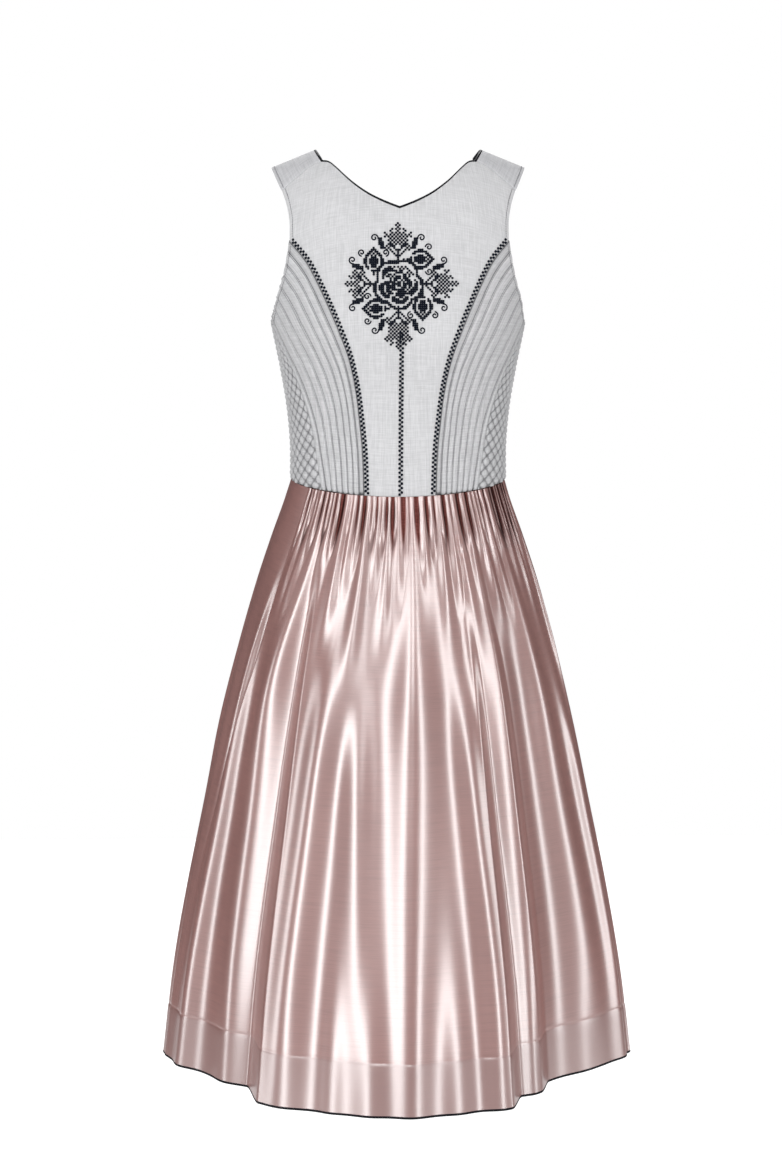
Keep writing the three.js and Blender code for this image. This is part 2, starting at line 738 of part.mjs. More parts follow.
const skirtFront = skirtPanelPoints(skirtPanels.front);
const skirtBack = skirtPanelPoints(skirtPanels.back);
dirndl.add(wallMesh('skirt_front', materials.satin, skirtFront));
dirndl.add(wallMesh('skirt_back', materials.satin, skirtBack));
dirndl.add(hemEdgeMesh('hem_edging', materials.piping, [skirtFront, skirtBack]));

export default dirndl;
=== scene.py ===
"""A sleeveless dirndl, filled out as if worn: linen bodice with quilted sides, gathered satin skirt."""
import math

import bpy
import numpy as np
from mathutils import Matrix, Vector


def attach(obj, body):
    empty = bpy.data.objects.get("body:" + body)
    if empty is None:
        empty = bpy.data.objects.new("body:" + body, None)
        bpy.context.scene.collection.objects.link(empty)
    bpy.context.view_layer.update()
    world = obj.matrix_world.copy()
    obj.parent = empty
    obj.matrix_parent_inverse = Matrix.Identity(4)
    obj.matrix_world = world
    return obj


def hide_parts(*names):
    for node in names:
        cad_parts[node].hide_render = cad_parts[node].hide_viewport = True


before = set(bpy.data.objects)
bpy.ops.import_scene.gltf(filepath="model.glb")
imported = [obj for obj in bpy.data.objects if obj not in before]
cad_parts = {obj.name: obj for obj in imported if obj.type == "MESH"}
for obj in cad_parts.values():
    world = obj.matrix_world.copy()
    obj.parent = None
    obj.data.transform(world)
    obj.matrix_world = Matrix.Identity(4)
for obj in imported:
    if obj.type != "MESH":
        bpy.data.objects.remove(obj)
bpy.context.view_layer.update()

# The form, in millimetres as in the part's source. Angles run from the front over +X to the back.
MM = 0.001
SECTION_POWER = 2.3
CHEST_LEVEL = -95.0
LINEN = 1.5
QUILT = 1.8
SATIN = 1.3

# level, half width, depth in front, depth behind
BODICE_RINGS = np.array([
    (-420, 124, 92, 86), (-380, 124, 92, 86), (-335, 124, 93, 84), (-290, 128, 97, 85),
    (-245, 135.5, 104, 88), (-215, 141.5, 108, 91), (-187, 146.5, 107, 93), (-140, 150, 99, 92),
    (-95, 152, 89, 87), (-60, 152, 82, 80), (0, 152, 70, 68), (60, 152, 62, 60),
], dtype=float)
CUP = {"depth": 10, "out": 72, "level": -205, "wide": 42, "high": 55}
SHOULDER = {"middle": 45, "fall": 0.42, "rounding": 30}
WAIST = {"side": -377, "front_dip": 12.3, "back_dip": 3, "roundness": 1.4}

# Seams and edges of the right half, x out from the middle and z up
PRINCESS_SEAM = [(40.6, -387.3), (42.2, -339), (45.6, -302), (50, -266), (57.8, -230),
                 (71.3, -193), (83.3, -165.5), (96, -139), (106.9, -120), (125.6, -98)]
SIDE_SEAM = [(83.8, -384.3), (89, -349), (96, -308), (106, -275), (116, -250), (128, -226),
             (143.8, -192.5)]
BACK_SEAM = [(68, -379.5), (73, -340), (82, -290), (97, -240), (116, -190), (133.3, -144)]
UPPER_ARMHOLE = [(125.6, -98), (125.6, -76), (129.5, -56), (134, -43)]
LOWER_ARMHOLE = [(125.6, -98), (128.5, -121), (133.3, -144), (140, -167), (143.8, -192.5)]
BACK_ARMHOLE = [(133.3, -144), (128.5, -121), (125.6, -98), (125.6, -76), (129.5, -56), (134, -43)]
YOKE_SEAM = [(89.3, -9.5), (103, -17), (119, -30), (134, -43)]
FRONT_NECKLINE = [(0, -61.5), (18, -54.5), (36, -45.6), (54.6, -32.5), (73, -15.8), (80, -10.5),
                  (89.3, -9.5)]
BACK_NECKLINE = [(0, -114), (26, -110), (49, -96), (66, -72), (78, -44), (89.3, -9.5)]
UNDERARM = {"angle": 101, "level": -205}
YOKE_TOP = {"neck": 97, "arm": 146}

# Where an edge passes from one seam to the next, as shares of its length
ARMHOLE_SHARE = 11 / 14  # up the side edge of the front or back: the seam ends, the armhole starts
NECK_SHARE = 1 - 8 / 24  # out along half the front's top: the neckline ends, the yoke seam starts
YOKE_SHARE = 3 / 12  # in along the back's top: the yoke seam ends, the neckline starts

# Quilting and sewing
SIDE_GAP = 0.0006  # shares of a panel that stay free at its sides and at its ends
END_GAP = 0.0004
CHANNELS = 7
STITCH_GAP = 0.0105  # from the middle of a double line to each of its two, across the panel
BUNCHING = 0.78  # how strongly the side front's columns of points crowd to the double lines
CHANNEL_HEIGHT = 1.6
FLAT_CHANNEL = 0.45  # share of that height which the channel beside the braid has
BETWEEN_LINES = 1.0  # height of the cloth between a line's two rows of stitches
STITCH_DIP = 0.75
DIAMOND_HEIGHT = 2.6
DIAMONDS = {"rising": 9.0, "falling": 15.5, "along": 14.5}  # lines met across and along a panel
SIDE_RIB = {"width": 7.0, "height": 1.9}  # the plain rib between side front and diamonds
FRONT_WIDTH = 250.0  # near the waist and along the form, counted from edge to edge
CENTRE_LINE_TOP = 0.515  # share of the front's height where its centre line ends
TOPSTITCH = {"pitch": 2.6, "length": 2.1, "radius": 0.32, "bow": 0.1}
DIAMOND_STITCH = {"pitch": 3.4, "length": 2.9, "radius": 0.32, "bow": 0.0}
BRAID = {"cell": 2.5, "inset": 2.9, "radius": 0.9, "bow": 0.25}
CROSS = {"under": 0.15, "over": 0.4, "length": 1.2}  # heights of its two threads; lengths in cells
PIPING = {"out": 1.5, "up": 1.6, "past_edge": 1.4, "sides": 10}
EDGING = {"out": 1.15, "up": 1.5, "past_edge": 1.4, "sides": 8}
SHARP_ANGLE = math.radians(80)
FLIP = np.array([-1, 1, 1])

# share of the way down, half width, depth in front, depth behind, how far the ends draw in
SKIRT_RINGS = np.array([
    (0, 124, 92, 86, 0), (0.035, 131, 100, 95, 0.1), (0.1, 147, 111, 108, 0.25),
    (0.18, 165, 122, 122, 0.4), (0.28, 184, 134, 136, 0.55), (0.42, 207, 147, 153, 0.7),
    (0.56, 227, 159, 168, 0.82), (0.7, 247, 170, 182, 0.9), (0.85, 265, 180, 195, 0.96),
    (1, 278, 188, 205, 1),
], dtype=float)
DRAWN_IN_POWER = 1.8
HEM = {"front": -1072, "side": -1067, "back": -1075}

# degrees round the skirt, width, depth at the hem, share where it starts
STEPS = [(-37, 3.4, 56, 0.1), (27, 3.2, -40, 0.14), (35.8, 3.4, -32, 0.02), (147, 3.6, 44, 0.12),
         (214, 3.6, -44, 0.1)]
# degrees round the skirt, half width, height at the hem, share where it starts
FOLDS = [
    (-67, 8, 8, 0.1), (-45, 5, 6, 0.06), (-28, 6, 10, 0.16), (-17, 4, 8, 0.05), (-7, 4, 7, 0.3),
    (2, 5, 9, 0.08), (13, 5, 9, 0.12), (22.5, 4, 9, 0.05), (31.5, 3, 6, 0.2), (49, 7, 8, 0.08),
    (67, 8, 11, 0.14), (104, 8, 10, 0.2), (122, 8, 14, 0.08), (137, 5, 10, 0.22),
    (152, 6, 13, 0.1), (166, 5, 10, 0.05), (178, 6, 13, 0.14), (191, 5, 11, 0.06),
    (205, 6, 13, 0.2), (222, 5, 8, 0.1), (237, 8, 14, 0.06), (256, 7, 10, 0.16),
]
# Broad folds laid over the form's own: degrees round the skirt, half width, height, share
# where it starts, degrees that it leans over its length
CREASES = [
    (-64, 6, 8, 0.1, -2), (-47, 9, 15, 0.04, 5), (-27, 6, 9, 0.12, -9), (-13, 5, 7, 0.2, 5),
    (4, 9, 14, 0.05, -6), (21, 5, 8, 0.16, 8), (35, 8, 13, 0.04, -4), (54, 9, 12, 0.08, 7),
    (70, 6, 8, 0.2, 3), (110, 8, 9, 0.1, 3), (131, 9, 11, 0.06, -6), (152, 7, 9, 0.14, 6),
    (173, 9, 12, 0.06, -5), (195, 7, 9, 0.12, -7), (215, 9, 11, 0.08, 6), (238, 7, 9, 0.1, -6),
    (257, 7, 8, 0.16, -2),
]
HEM_TURN = 58.0  # the hem's turned-up allowance
HEM_LAYER = 0.4  # how far its second layer pushes the cloth out
HEM_STITCH_DIP = 0.45
SKIRT_LENGTH = 690.0
SATIN_ACROSS = 1.25  # metres of cloth that a skirt panel's width stands for
# How far the gathers run down, as shares of the skirt's length, over and over along the waist
GATHER_RUNS = [0.13, 0.32, 0.11, 0.22, 0.15, 0.52, 0.1, 0.19]
# A gather's height at the seam, what it gains just under it, and for its run what it gains below
GATHER_HEIGHTS = {"at_seam": 1.1, "under_seam": 1.1, "below": 3.4}
# degrees from edge to edge at waist and hem, gathers, share without them at each side, seed, grid
SKIRT_PANELS = {
    "front": {"waist": (-58, 80), "hem": (-82, 84), "gathers": 46, "plain": 0.0, "seed": 5,
              "columns": 420, "rows": 110},
    "back": {"waist": (80, 302), "hem": (84, 278), "gathers": 44, "plain": 0.17, "seed": 11,
             "columns": 320, "rows": 80},
}


def smooth_column(rows, column, at):
    """A smooth curve through one column of a table whose first column is its key."""
    keys, values = rows[:, 0], rows[:, column]
    slopes = np.empty_like(values)
    slopes[1:-1] = (values[2:] - values[:-2]) / (keys[2:] - keys[:-2])
    slopes[0] = (values[1] - values[0]) / (keys[1] - keys[0])
    slopes[-1] = (values[-1] - values[-2]) / (keys[-1] - keys[-2])
    i = np.clip(np.searchsorted(keys, at) - 1, 0, len(keys) - 2)
    span = keys[i + 1] - keys[i]
    t = np.clip((at - keys[i]) / span, 0, 1)
    square, cube = t * t, t * t * t
    return ((2 * cube - 3 * square + 1) * values[i] + (cube - 2 * square + t) * span * slopes[i]
            + (3 * square - 2 * cube) * values[i + 1] + (cube - square) * span * slopes[i + 1])


def smooth_step(value, low, high):
    t = np.clip((value - low) / (high - low), 0, 1)
    return t * t * (3 - 2 * t)


def mix(low, high, share):
    return low + (high - low) * share


def shoulder_height(x):
    return SHOULDER["middle"] - SHOULDER["fall"] * np.hypot(x, SHOULDER["rounding"])


def ring_depth(is_front, level):
    return np.where(is_front, smooth_column(BODICE_RINGS, 2, level),
                    smooth_column(BODICE_RINGS, 3, level))


def cup_bulge(x, level, share):
    across = ((np.abs(x) - CUP["out"]) / CUP["wide"]) ** 2
    along = ((level - CUP["level"]) / CUP["high"]) ** 2
    return CUP["depth"] * np.exp(-across - along) * share


def bodice_point(angle, level):
    is_front = np.cos(angle) > 0
    half_width = smooth_column(BODICE_RINGS, 1, level)
    depth = ring_depth(is_front, level)
    radius = ((np.abs(np.sin(angle)) / half_width) ** SECTION_POWER
              + (np.abs(np.cos(angle)) / depth) ** SECTION_POWER) ** (-1 / SECTION_POWER)
    x = radius * np.sin(angle)
    y = -radius * np.cos(angle)
    rise = np.maximum(0, (level - CHEST_LEVEL) / (shoulder_height(x) - CHEST_LEVEL))
    y = y * np.sqrt(np.maximum(0, 1 - rise * rise))
    y = np.where(is_front, y - cup_bulge(x, level, -y / depth), y)
    return np.stack([x, y, level + 0 * x], axis=-1)


def angle_at(x, level, is_front):
    half_width = smooth_column(BODICE_RINGS, 1, level)
    share = np.minimum(1, np.abs(x) / half_width)
    y = ring_depth(is_front, level) * (1 - share ** SECTION_POWER) ** (1 / SECTION_POWER)
    from_front = np.arctan2(x, y)
    return from_front if is_front else math.pi - from_front


def waist_level(angle):
    facing = np.cos(angle)
    dip = np.where(facing > 0, WAIST["front_dip"], WAIST["back_dip"])
    return WAIST["side"] - dip * np.abs(facing) ** WAIST["roundness"]


def unit(vectors):
    return vectors / np.maximum(np.linalg.norm(vectors, axis=-1, keepdims=True), 1e-12)


def normal_of(surface, a, b, step_a, step_b):
    along_a = surface(a + step_a, b) - surface(a - step_a, b)
    along_b = surface(a, b + step_b) - surface(a, b - step_b)
    return unit(np.cross(along_a, along_b))


def curve_through(points):
    """A centripetal curve through points, as a function of the share of its length."""
    p = np.array(points, dtype=float)
    p = np.vstack([2 * p[0] - p[1], p, 2 * p[-1] - p[-2]])
    dense = []
    t = np.linspace(0, 1, 60)[:, None]
    for k in range(1, len(p) - 2):
        gaps = [np.linalg.norm(p[k + n] - p[k + n - 1]) ** 0.5 for n in range(3)]
        start = (p[k] - p[k - 1]) / gaps[0] - (p[k + 1] - p[k - 1]) / (gaps[0] + gaps[1]) \
            + (p[k + 1] - p[k]) / gaps[1]
        end = (p[k + 1] - p[k]) / gaps[1] - (p[k + 2] - p[k]) / (gaps[1] + gaps[2]) \
            + (p[k + 2] - p[k + 1]) / gaps[2]
        start, end = start * gaps[1], end * gaps[1]
        dense.append(p[k] + start * t + (3 * (p[k + 1] - p[k]) - 2 * start - end) * t ** 2
                     + (2 * (p[k] - p[k + 1]) + start + end) * t ** 3)
    dense = np.vstack(dense)
    lengths = np.concatenate([[0], np.cumsum(np.linalg.norm(np.diff(dense, axis=0), axis=1))])
    lengths /= lengths[-1]
    return lambda share: np.stack(
        [np.interp(share, lengths, dense[:, 0]), np.interp(share, lengths, dense[:, 1])], axis=-1)


# Edge curves give an angle and a level for each share of their length
def edge_through(points, is_front, from_waist=False):
    points = [tuple(p) for p in points]
    if from_waist:
        x, z = points[0]
        points[0] = (x, float(waist_level(angle_at(x, z, is_front))))
    curve = curve_through(points)

    def edge(share):
        p = curve(np.clip(share, 0, 1))
        return np.stack([angle_at(p[..., 0], p[..., 1], is_front), p[..., 1]], axis=-1)
    return edge


def chained(first, second, joint):
    return lambda share: np.where(np.expand_dims(share <= joint, -1), first(share / joint),
                                  second((share - joint) / (1 - joint)))


def reversed_edge(edge):
    return lambda share: edge(1 - share)


def mirrored(edge):
    return lambda share: edge(share) * np.array([-1, 1])


def along_waist(start, end):
    def edge(share):
        angle = mix(start, end, share)
        return np.stack([angle, waist_level(angle)], axis=-1)
    return edge


def filled_patch(left, right, bottom, top):
    def patch(u, v):
        a, b = np.expand_dims(u, -1), np.expand_dims(v, -1)
        ends = (1 - a) * ((1 - b) * bottom(u * 0) + b * top(u * 0)) \
            + a * ((1 - b) * bottom(u * 0 + 1) + b * top(u * 0 + 1))
        return (1 - b) * bottom(u) + b * top(u) + (1 - a) * left(v) + a * right(v) - ends
    return patch


PRINCESS = edge_through(PRINCESS_SEAM, True, True)
SIDE = edge_through(SIDE_SEAM, True, True)
BACK = edge_through(BACK_SEAM, False, True)
UPPER_ARM = edge_through(UPPER_ARMHOLE, True)
LOWER_ARM = edge_through(LOWER_ARMHOLE, True)
BACK_ARM = edge_through(BACK_ARMHOLE, False)
YOKE_FRONT = edge_through(YOKE_SEAM, True)
YOKE_BACK = edge_through(YOKE_SEAM, False)
NECK_FRONT = edge_through(FRONT_NECKLINE, True)
NECK_BACK = edge_through(BACK_NECKLINE, False)
ZERO = np.zeros(())
ONE = np.ones(())


def half_front_top(share):
    return chained(NECK_FRONT, YOKE_FRONT, NECK_SHARE)(share)


def front_top(share):
    right = half_front_top(np.clip(2 * share - 1, 0, 1))
    left = half_front_top(np.clip(1 - 2 * share, 0, 1)) * np.array([-1, 1])
    return np.where(np.expand_dims(share < 0.5, -1), left, right)


def underarm_edge(share):
    front, back = SIDE(ONE), BACK(ONE)
    pull = np.array([math.radians(UNDERARM["angle"]), UNDERARM["level"]])
    t = np.expand_dims(share, -1)
    return (1 - t) ** 2 * front + 2 * t * (1 - t) * pull + t ** 2 * back


def centre_back(share):
    angle = math.pi + 0 * share
    return np.stack([angle, mix(waist_level(math.pi), BACK_NECKLINE[0][1], share)], axis=-1)


FRONT_SIDES = chained(PRINCESS, UPPER_ARM, ARMHOLE_SHARE)
PATCHES = {
    "front": filled_patch(mirrored(FRONT_SIDES), FRONT_SIDES,
                          along_waist(-PRINCESS(ZERO)[0], PRINCESS(ZERO)[0]), front_top),
    "side_front": filled_patch(PRINCESS, SIDE,
                               along_waist(PRINCESS(ZERO)[0], SIDE(ZERO)[0]), LOWER_ARM),
    "side": filled_patch(SIDE, BACK, along_waist(SIDE(ZERO)[0], BACK(ZERO)[0]), underarm_edge),
    "back": filled_patch(chained(BACK, BACK_ARM, ARMHOLE_SHARE), centre_back,
                         along_waist(BACK(ZERO)[0], math.pi),
                         chained(reversed_edge(YOKE_BACK), reversed_edge(NECK_BACK), YOKE_SHARE)),
}


def yoke_place(x, turn):
    level = CHEST_LEVEL + (shoulder_height(x) - CHEST_LEVEL) * np.sin(turn)
    is_front = np.cos(turn) > 0
    half_width = smooth_column(BODICE_RINGS, 1, level)
    share = np.minimum(1, np.abs(x) / half_width) ** SECTION_POWER
    ring = ring_depth(is_front, level)
    y = -ring * (1 - share) ** (1 / SECTION_POWER) * np.cos(turn)
    bulge = np.where(is_front, cup_bulge(x, level, -y / ring), 0)
    return np.stack([x + 0 * turn, y - bulge, level], axis=-1)


YOKE_CURVE = curve_through(YOKE_SEAM)


def yoke_surface(u, v):
    p = YOKE_CURVE(u)
    start = np.arcsin((p[..., 1] - CHEST_LEVEL) / (shoulder_height(p[..., 0]) - CHEST_LEVEL))
    x = mix(p[..., 0], YOKE_TOP["neck"] + (YOKE_TOP["arm"] - YOKE_TOP["neck"]) * u,
            1 - (2 * v - 1) ** 2)
    return yoke_place(x, mix(start, math.pi - start, v))


def panel_surface(name):
    patch = PATCHES[name]

    def surface(u, v):
        p = patch(u, v)
        return bodice_point(p[..., 0], p[..., 1])
    return surface


# Quilting and pressed seams, as heights over the plain form
def pressed(distance, depth, reach=2.2):
    """How far cloth dips beside a seam that lies so many millimetres away."""
    return -depth * np.exp(-(distance / reach) ** 2)


def channel_height(u):
    """Round channels between doubled stitch lines; the first, beside the braid, stays flat."""
    beside_line = np.abs(((u * CHANNELS + 0.5) % 1) - 0.5) / CHANNELS
    ridge = np.abs(np.sin(math.pi * CHANNELS * u)) ** 0.45
    dips = STITCH_DIP * np.exp(-((beside_line - STITCH_GAP) / 0.0042) ** 2)
    between = BETWEEN_LINES * np.exp(-(beside_line / 0.0065) ** 2)
    grown = mix(FLAT_CHANNEL, 1.0, smooth_step(u * CHANNELS, 0.8, 1.2))
    return CHANNEL_HEIGHT * ridge * grown + between - dips


def diamond_height(u, v):
    """Pillows between two sets of crossing lines."""
    a = u * DIAMONDS["falling"] + v * DIAMONDS["along"]
    b = u * DIAMONDS["rising"] - v * DIAMONDS["along"]
    return DIAMOND_HEIGHT * (np.abs(np.sin(math.pi * a)) * np.abs(np.sin(math.pi * b))) ** 0.75


# Skirt
def degrees_from(at, angle):
    return (np.degrees(angle) - at + 540) % 360 - 180


def fold_height(angle, share):
    """The form's own folds, softened above the hem, and the broad creases that cross them."""
    height = 0 * angle
    softened = mix(0.22, 0.6, smooth_step(share, 0.6, 1.0))
    for at, width, rise, start in FOLDS:
        grown = smooth_step(share, start, 1) ** 0.7 * softened
        height = height + rise * grown * np.exp(-1.6 * (degrees_from(at, angle) / width) ** 2)
    for at, width, rise, start, lean in CREASES:
        grown = smooth_step(share, start, start + 0.32) * mix(1.0, 0.7, smooth_step(share, 0.75, 1))
        beside = degrees_from(at, angle) - lean * (share - 0.5)
        height = height + rise * grown * np.exp(-1.2 * (beside / width) ** 2)
    return height


def step_depth(angle, share):
    is_front = np.abs(degrees_from(0, angle)) < 90
    fade = smooth_step(np.abs(np.cos(angle)), 0, 0.5)
    depth = 0 * angle
    for at, width, rise, start in STEPS:
        grown = np.maximum(0, (share - start) / (1 - start)) ** 1.1
        turned = smooth_step(degrees_from(at, angle), -width / 2, width / 2)
        same_side = is_front == (abs(at) < 90)
        depth = depth + np.where(same_side, rise * grown * turned, 0)
    return np.where(is_front, -depth, depth) * fade


def skirt_base(angle, share):
    is_front = np.cos(angle) > 0
    sine, cosine = np.abs(np.sin(angle)), np.abs(np.cos(angle))
    rounded = (1 - sine ** SECTION_POWER) ** (1 / SECTION_POWER)
    drawn = cosine ** DRAWN_IN_POWER
    depth = np.where(is_front, smooth_column(SKIRT_RINGS, 2, share),
                     smooth_column(SKIRT_RINGS, 3, share))
    depth = depth * mix(rounded, drawn, smooth_column(SKIRT_RINGS, 4, share))
    hem = mix(HEM["side"], np.where(is_front, HEM["front"], HEM["back"]), cosine)
    return np.stack([smooth_column(SKIRT_RINGS, 1, share) * np.sin(angle),
                     np.where(is_front, -depth, depth),
                     mix(waist_level(angle), hem, share)], axis=-1)


def gather_height(panel, across, share):
    """The gathers at the waist: each runs down as far as it reaches and fades there."""
    random = np.random.default_rng(panel["seed"])
    count = panel["gathers"]
    centres = (np.arange(count) + 0.5 + random.uniform(-0.4, 0.4, count)) / count
    reaches = np.resize(GATHER_RUNS, count) * random.uniform(0.85, 1.15, count)
    strengths = random.uniform(0.6, 1.3, count)
    spreads = random.uniform(0.3, 0.58, count)
    height = 0 * across
    for centre, reach, strength, spread in zip(centres, reaches, strengths, spreads):
        width = (spread + 2.6 * np.maximum(0, np.minimum(share, reach) - 0.03)) / count
        rise = strength * (GATHER_HEIGHTS["at_seam"]
                           + GATHER_HEIGHTS["under_seam"] * smooth_step(share, 0, 0.03)
                           + GATHER_HEIGHTS["below"] * reach * smooth_step(share, 0.04, 0.35))
        rise = rise * (1 - smooth_step(share, 0.35 * reach, reach))
        height = np.maximum(height, rise * np.exp(-((across - centre) / width) ** 2))
    beside = np.minimum(across, 1 - across)
    if panel["plain"]:
        height = height * smooth_step(beside, panel["plain"] - 0.04, panel["plain"])
    return height


def gather_share(panel, across, share):
    """How near the cloth is to its ridges' tops: one there, below them and beside them."""
    ridge = 1 + smooth_step(share, 0, 0.03)
    beside = np.minimum(across, 1 - across)
    smooth = np.maximum(smooth_step(share, 0.03, 0.15),
                        1 - smooth_step(beside, panel["plain"], panel["plain"] + 0.02))
    return mix(np.minimum(1, gather_height(panel, across, share) / ridge), 1, smooth)


def hem_turn_height(drop):
    """The second layer of the turned-up hem pushes the cloth out a little, under its stitch line."""
    line = drop - HEM_TURN
    return HEM_LAYER * smooth_step(-line, -0.8, 0.8) - HEM_STITCH_DIP * np.exp(-(line / 2.0) ** 2)


def skirt_surface(panel):
    def surface(across, share):
        angle = np.radians(mix(mix(*panel["waist"], across), mix(*panel["hem"], across),
                               smooth_step(share, 0, 1)))
        normal = -normal_of(skirt_base, angle, np.clip(share, 0.01, 0.99), 0.01, 0.01)
        fine = gather_height(panel, across, share)
        beside = np.minimum(across, 1 - across)
        edge = smooth_step(beside, 0, 0.02)
        height = (fold_height(angle, share) + fine) * edge
        height = height + hem_turn_height((1 - share) * SKIRT_LENGTH)
        point = skirt_base(angle, share) + normal * height[..., None]
        point[..., 1] += step_depth(angle, share)
        return point
    return surface


# Materials
class Wire:
    """A socket that can be used in sums."""

    def __init__(self, tree, socket):
        self.tree = tree
        self.socket = socket

    def __add__(self, other):
        return self.tree.maths("ADD", self, other)

    def __sub__(self, other):
        return self.tree.maths("SUBTRACT", self, other)

    def __rsub__(self, other):
        return self.tree.maths("SUBTRACT", other, self)

    def __mul__(self, other):
        return self.tree.maths("MULTIPLY", self, other)

    __radd__ = __add__
    __rmul__ = __mul__


class Tree:
    """A node tree with one way to make its nodes."""

    def __init__(self, node_tree):
        self.nodes = node_tree.nodes
        self.links = node_tree.links

    def node(self, kind, settings=None, inputs=None, output=0):
        made = self.nodes.new(kind)
        for name, value in (settings or {}).items():
            setattr(made, name, value)
        for key, value in (inputs or {}).items():
            self.feed(made.inputs[key], value)
        return Wire(self, made.outputs[output]) if made.outputs else None

    def feed(self, socket, value):
        if isinstance(value, Wire):
            self.links.new(value.socket, socket)
        else:
            socket.default_value = value

    def outputs_of(self, wire):
        return [Wire(self, socket) for socket in wire.socket.node.outputs]

    def maths(self, operation, *values):
        return self.node("ShaderNodeMath", {"operation": operation}, dict(enumerate(values)))

    def parts_of(self, vector):
        return self.outputs_of(self.node("ShaderNodeSeparateXYZ", None, {0: vector}))


class Finish(Tree):
    """A material: a Principled shader and what varies over its surface."""

    def __init__(self, name):
        self.material = bpy.data.materials.new(name)
        self.material.use_nodes = True
        super().__init__(self.material.node_tree)
        self.nodes.clear()
        shader = self.node("ShaderNodeBsdfPrincipled")
        self.node("ShaderNodeOutputMaterial", None, {"Surface": shader})
        self.inputs = shader.socket.node.inputs

    def looks(self, **values):
        for name, value in values.items():
            self.feed(self.inputs[name.replace("_", " ")], value)
        return self.material

    def cloth_place(self, name="cloth"):
        return self.node("ShaderNodeUVMap", {"uv_map": name})

    def stretched(self, vector, x, y, z=1.0):
        return self.node("ShaderNodeVectorMath", {"operation": "MULTIPLY"},
                         {0: vector, 1: (x, y, z)})

    def noise(self, vector, detail):
        return self.node("ShaderNodeTexNoise", {"noise_dimensions": "3D"},
                         {"Vector": vector, "Scale": 1.0, "Detail": detail})

    def ramp(self, value, low, high):
        """Zero up to low, one from high."""
        return self.node("ShaderNodeMapRange", {"interpolation_type": "SMOOTHSTEP"},
                         {"Value": value, "From Min": low, "From Max": high})

    def blend(self, share, first, second):
        """Mixes colours, whose inputs and output stand behind those for numbers and vectors."""
        return self.node("ShaderNodeMix", {"data_type": "RGBA"}, {0: share, 6: first, 7: second}, 2)

    def bump(self, height, strength, distance):
        return self.node("ShaderNodeBump", None,
                         {"Strength": strength, "Distance": distance, "Height": height})


THREADS = 7800.0  # the weave's waves, in radians to a metre


def linen_finish(name, pale, dark, painted_shade=None, shade_fades_by=1.0):
    """Plain weave with slubs here and there; the optional dark colour is shade painted down in the
    quilting's lines, fading out by the height given after it.
    """
    f = Finish(name)
    place = f.cloth_place()
    x, y, _ = f.parts_of(place)
    warp = f.noise(f.stretched(place, 1400, 60), 1.5)
    weft = f.noise(f.stretched(place, 60, 1400), 1.5)
    slub = f.noise(f.stretched(place, 640, 16), 2.0)
    cross_slub = f.noise(f.stretched(place, 18, 640), 2.0)
    shade = warp * 0.3 + weft * 0.26 + slub * 0.26 + cross_slub * 0.18
    weave = f.maths("SINE", x * THREADS) * f.maths("SINE", y * THREADS)
    height = shade + weave * 0.12
    colour = f.blend(f.ramp(shade, 0.4, 0.6), dark, pale)
    if painted_shade:
        # Painted shade: the colour darkens down in the quilting's lines, by the height in the "raised"
        # map
        raised, _, _ = f.parts_of(f.cloth_place("raised"))
        colour = f.blend(f.ramp(raised, 0.0, shade_fades_by), painted_shade, colour)
    return f.looks(Base_Color=colour, Roughness=0.82,
                   Sheen_Weight=0.15, Specular_IOR_Level=0.25,
                   Normal=f.bump(height, 0.35, 0.0006))


ROSE, PALE_ROSE = (0.235, 0.1, 0.088, 1), (0.27, 0.12, 0.106, 1)
GATHER_SHADE_ROSE = (0.05, 0.014, 0.012, 1)  # painted shade, down between the gathers
RIB_ROSE = (0.12, 0.045, 0.04, 1)
HEM_ROSE = (0.19, 0.085, 0.076, 1)


def satin_finish(name):
    """Rose satin with fine ribs across, shade painted between the gathers, duller along the hem."""
    f = Finish(name)
    place = f.cloth_place()
    _, drop, _ = f.parts_of(place)
    ribs = f.noise(f.stretched(place, 16, 1500), 1.0)
    slubs = f.noise(f.stretched(place, 7, 260), 3.0)
    cloud = f.noise(f.stretched(place, 6, 6), 3.0)
    turned = f.ramp(drop, (HEM_TURN + 0.5) * MM, (HEM_TURN - 0.5) * MM)
    raised, _, _ = f.parts_of(f.cloth_place("raised"))
    # Painted shade between the gathers: where the "raised" map is low the colour turns dark rose and
    # the cloth wholly metallic, so it reflects only that dark colour
    ridge = f.ramp(raised, 0.3, 0.85)
    rose = f.blend(ridge, GATHER_SHADE_ROSE, f.blend(f.ramp(cloud, 0.3, 0.7), ROSE, PALE_ROSE))
    ribbed = f.blend(f.ramp(ribs * 0.7 + slubs * 0.3, 0.3, 0.6) * 0.5 + 0.5, RIB_ROSE, rose)
    colour = f.blend(turned * 0.8, ribbed, HEM_ROSE)
    return f.looks(Base_Color=colour, IOR=2.8, Metallic=1 - ridge,
                   Roughness=turned * 0.04 + 0.29, Normal=f.bump(ribs, 0.012, 0.0003))


def thread_finish(name, colour, roughness=0.6):
    """Twisted thread or cord, a little paler on its strands."""
    f = Finish(name)
    place = f.node("ShaderNodeTexCoord", output="Object")
    strands = f.noise(f.stretched(place, 2600, 2600, 2600), 1.0)
    pale = tuple(c * 1.6 + 0.003 for c in colour[:3]) + (1,)
    return f.looks(Base_Color=f.blend(f.ramp(strands, 0.45, 0.75), colour, pale),
                   Roughness=roughness, Specular_IOR_Level=0.06,
                   Normal=f.bump(strands, 0.4, 0.0003))


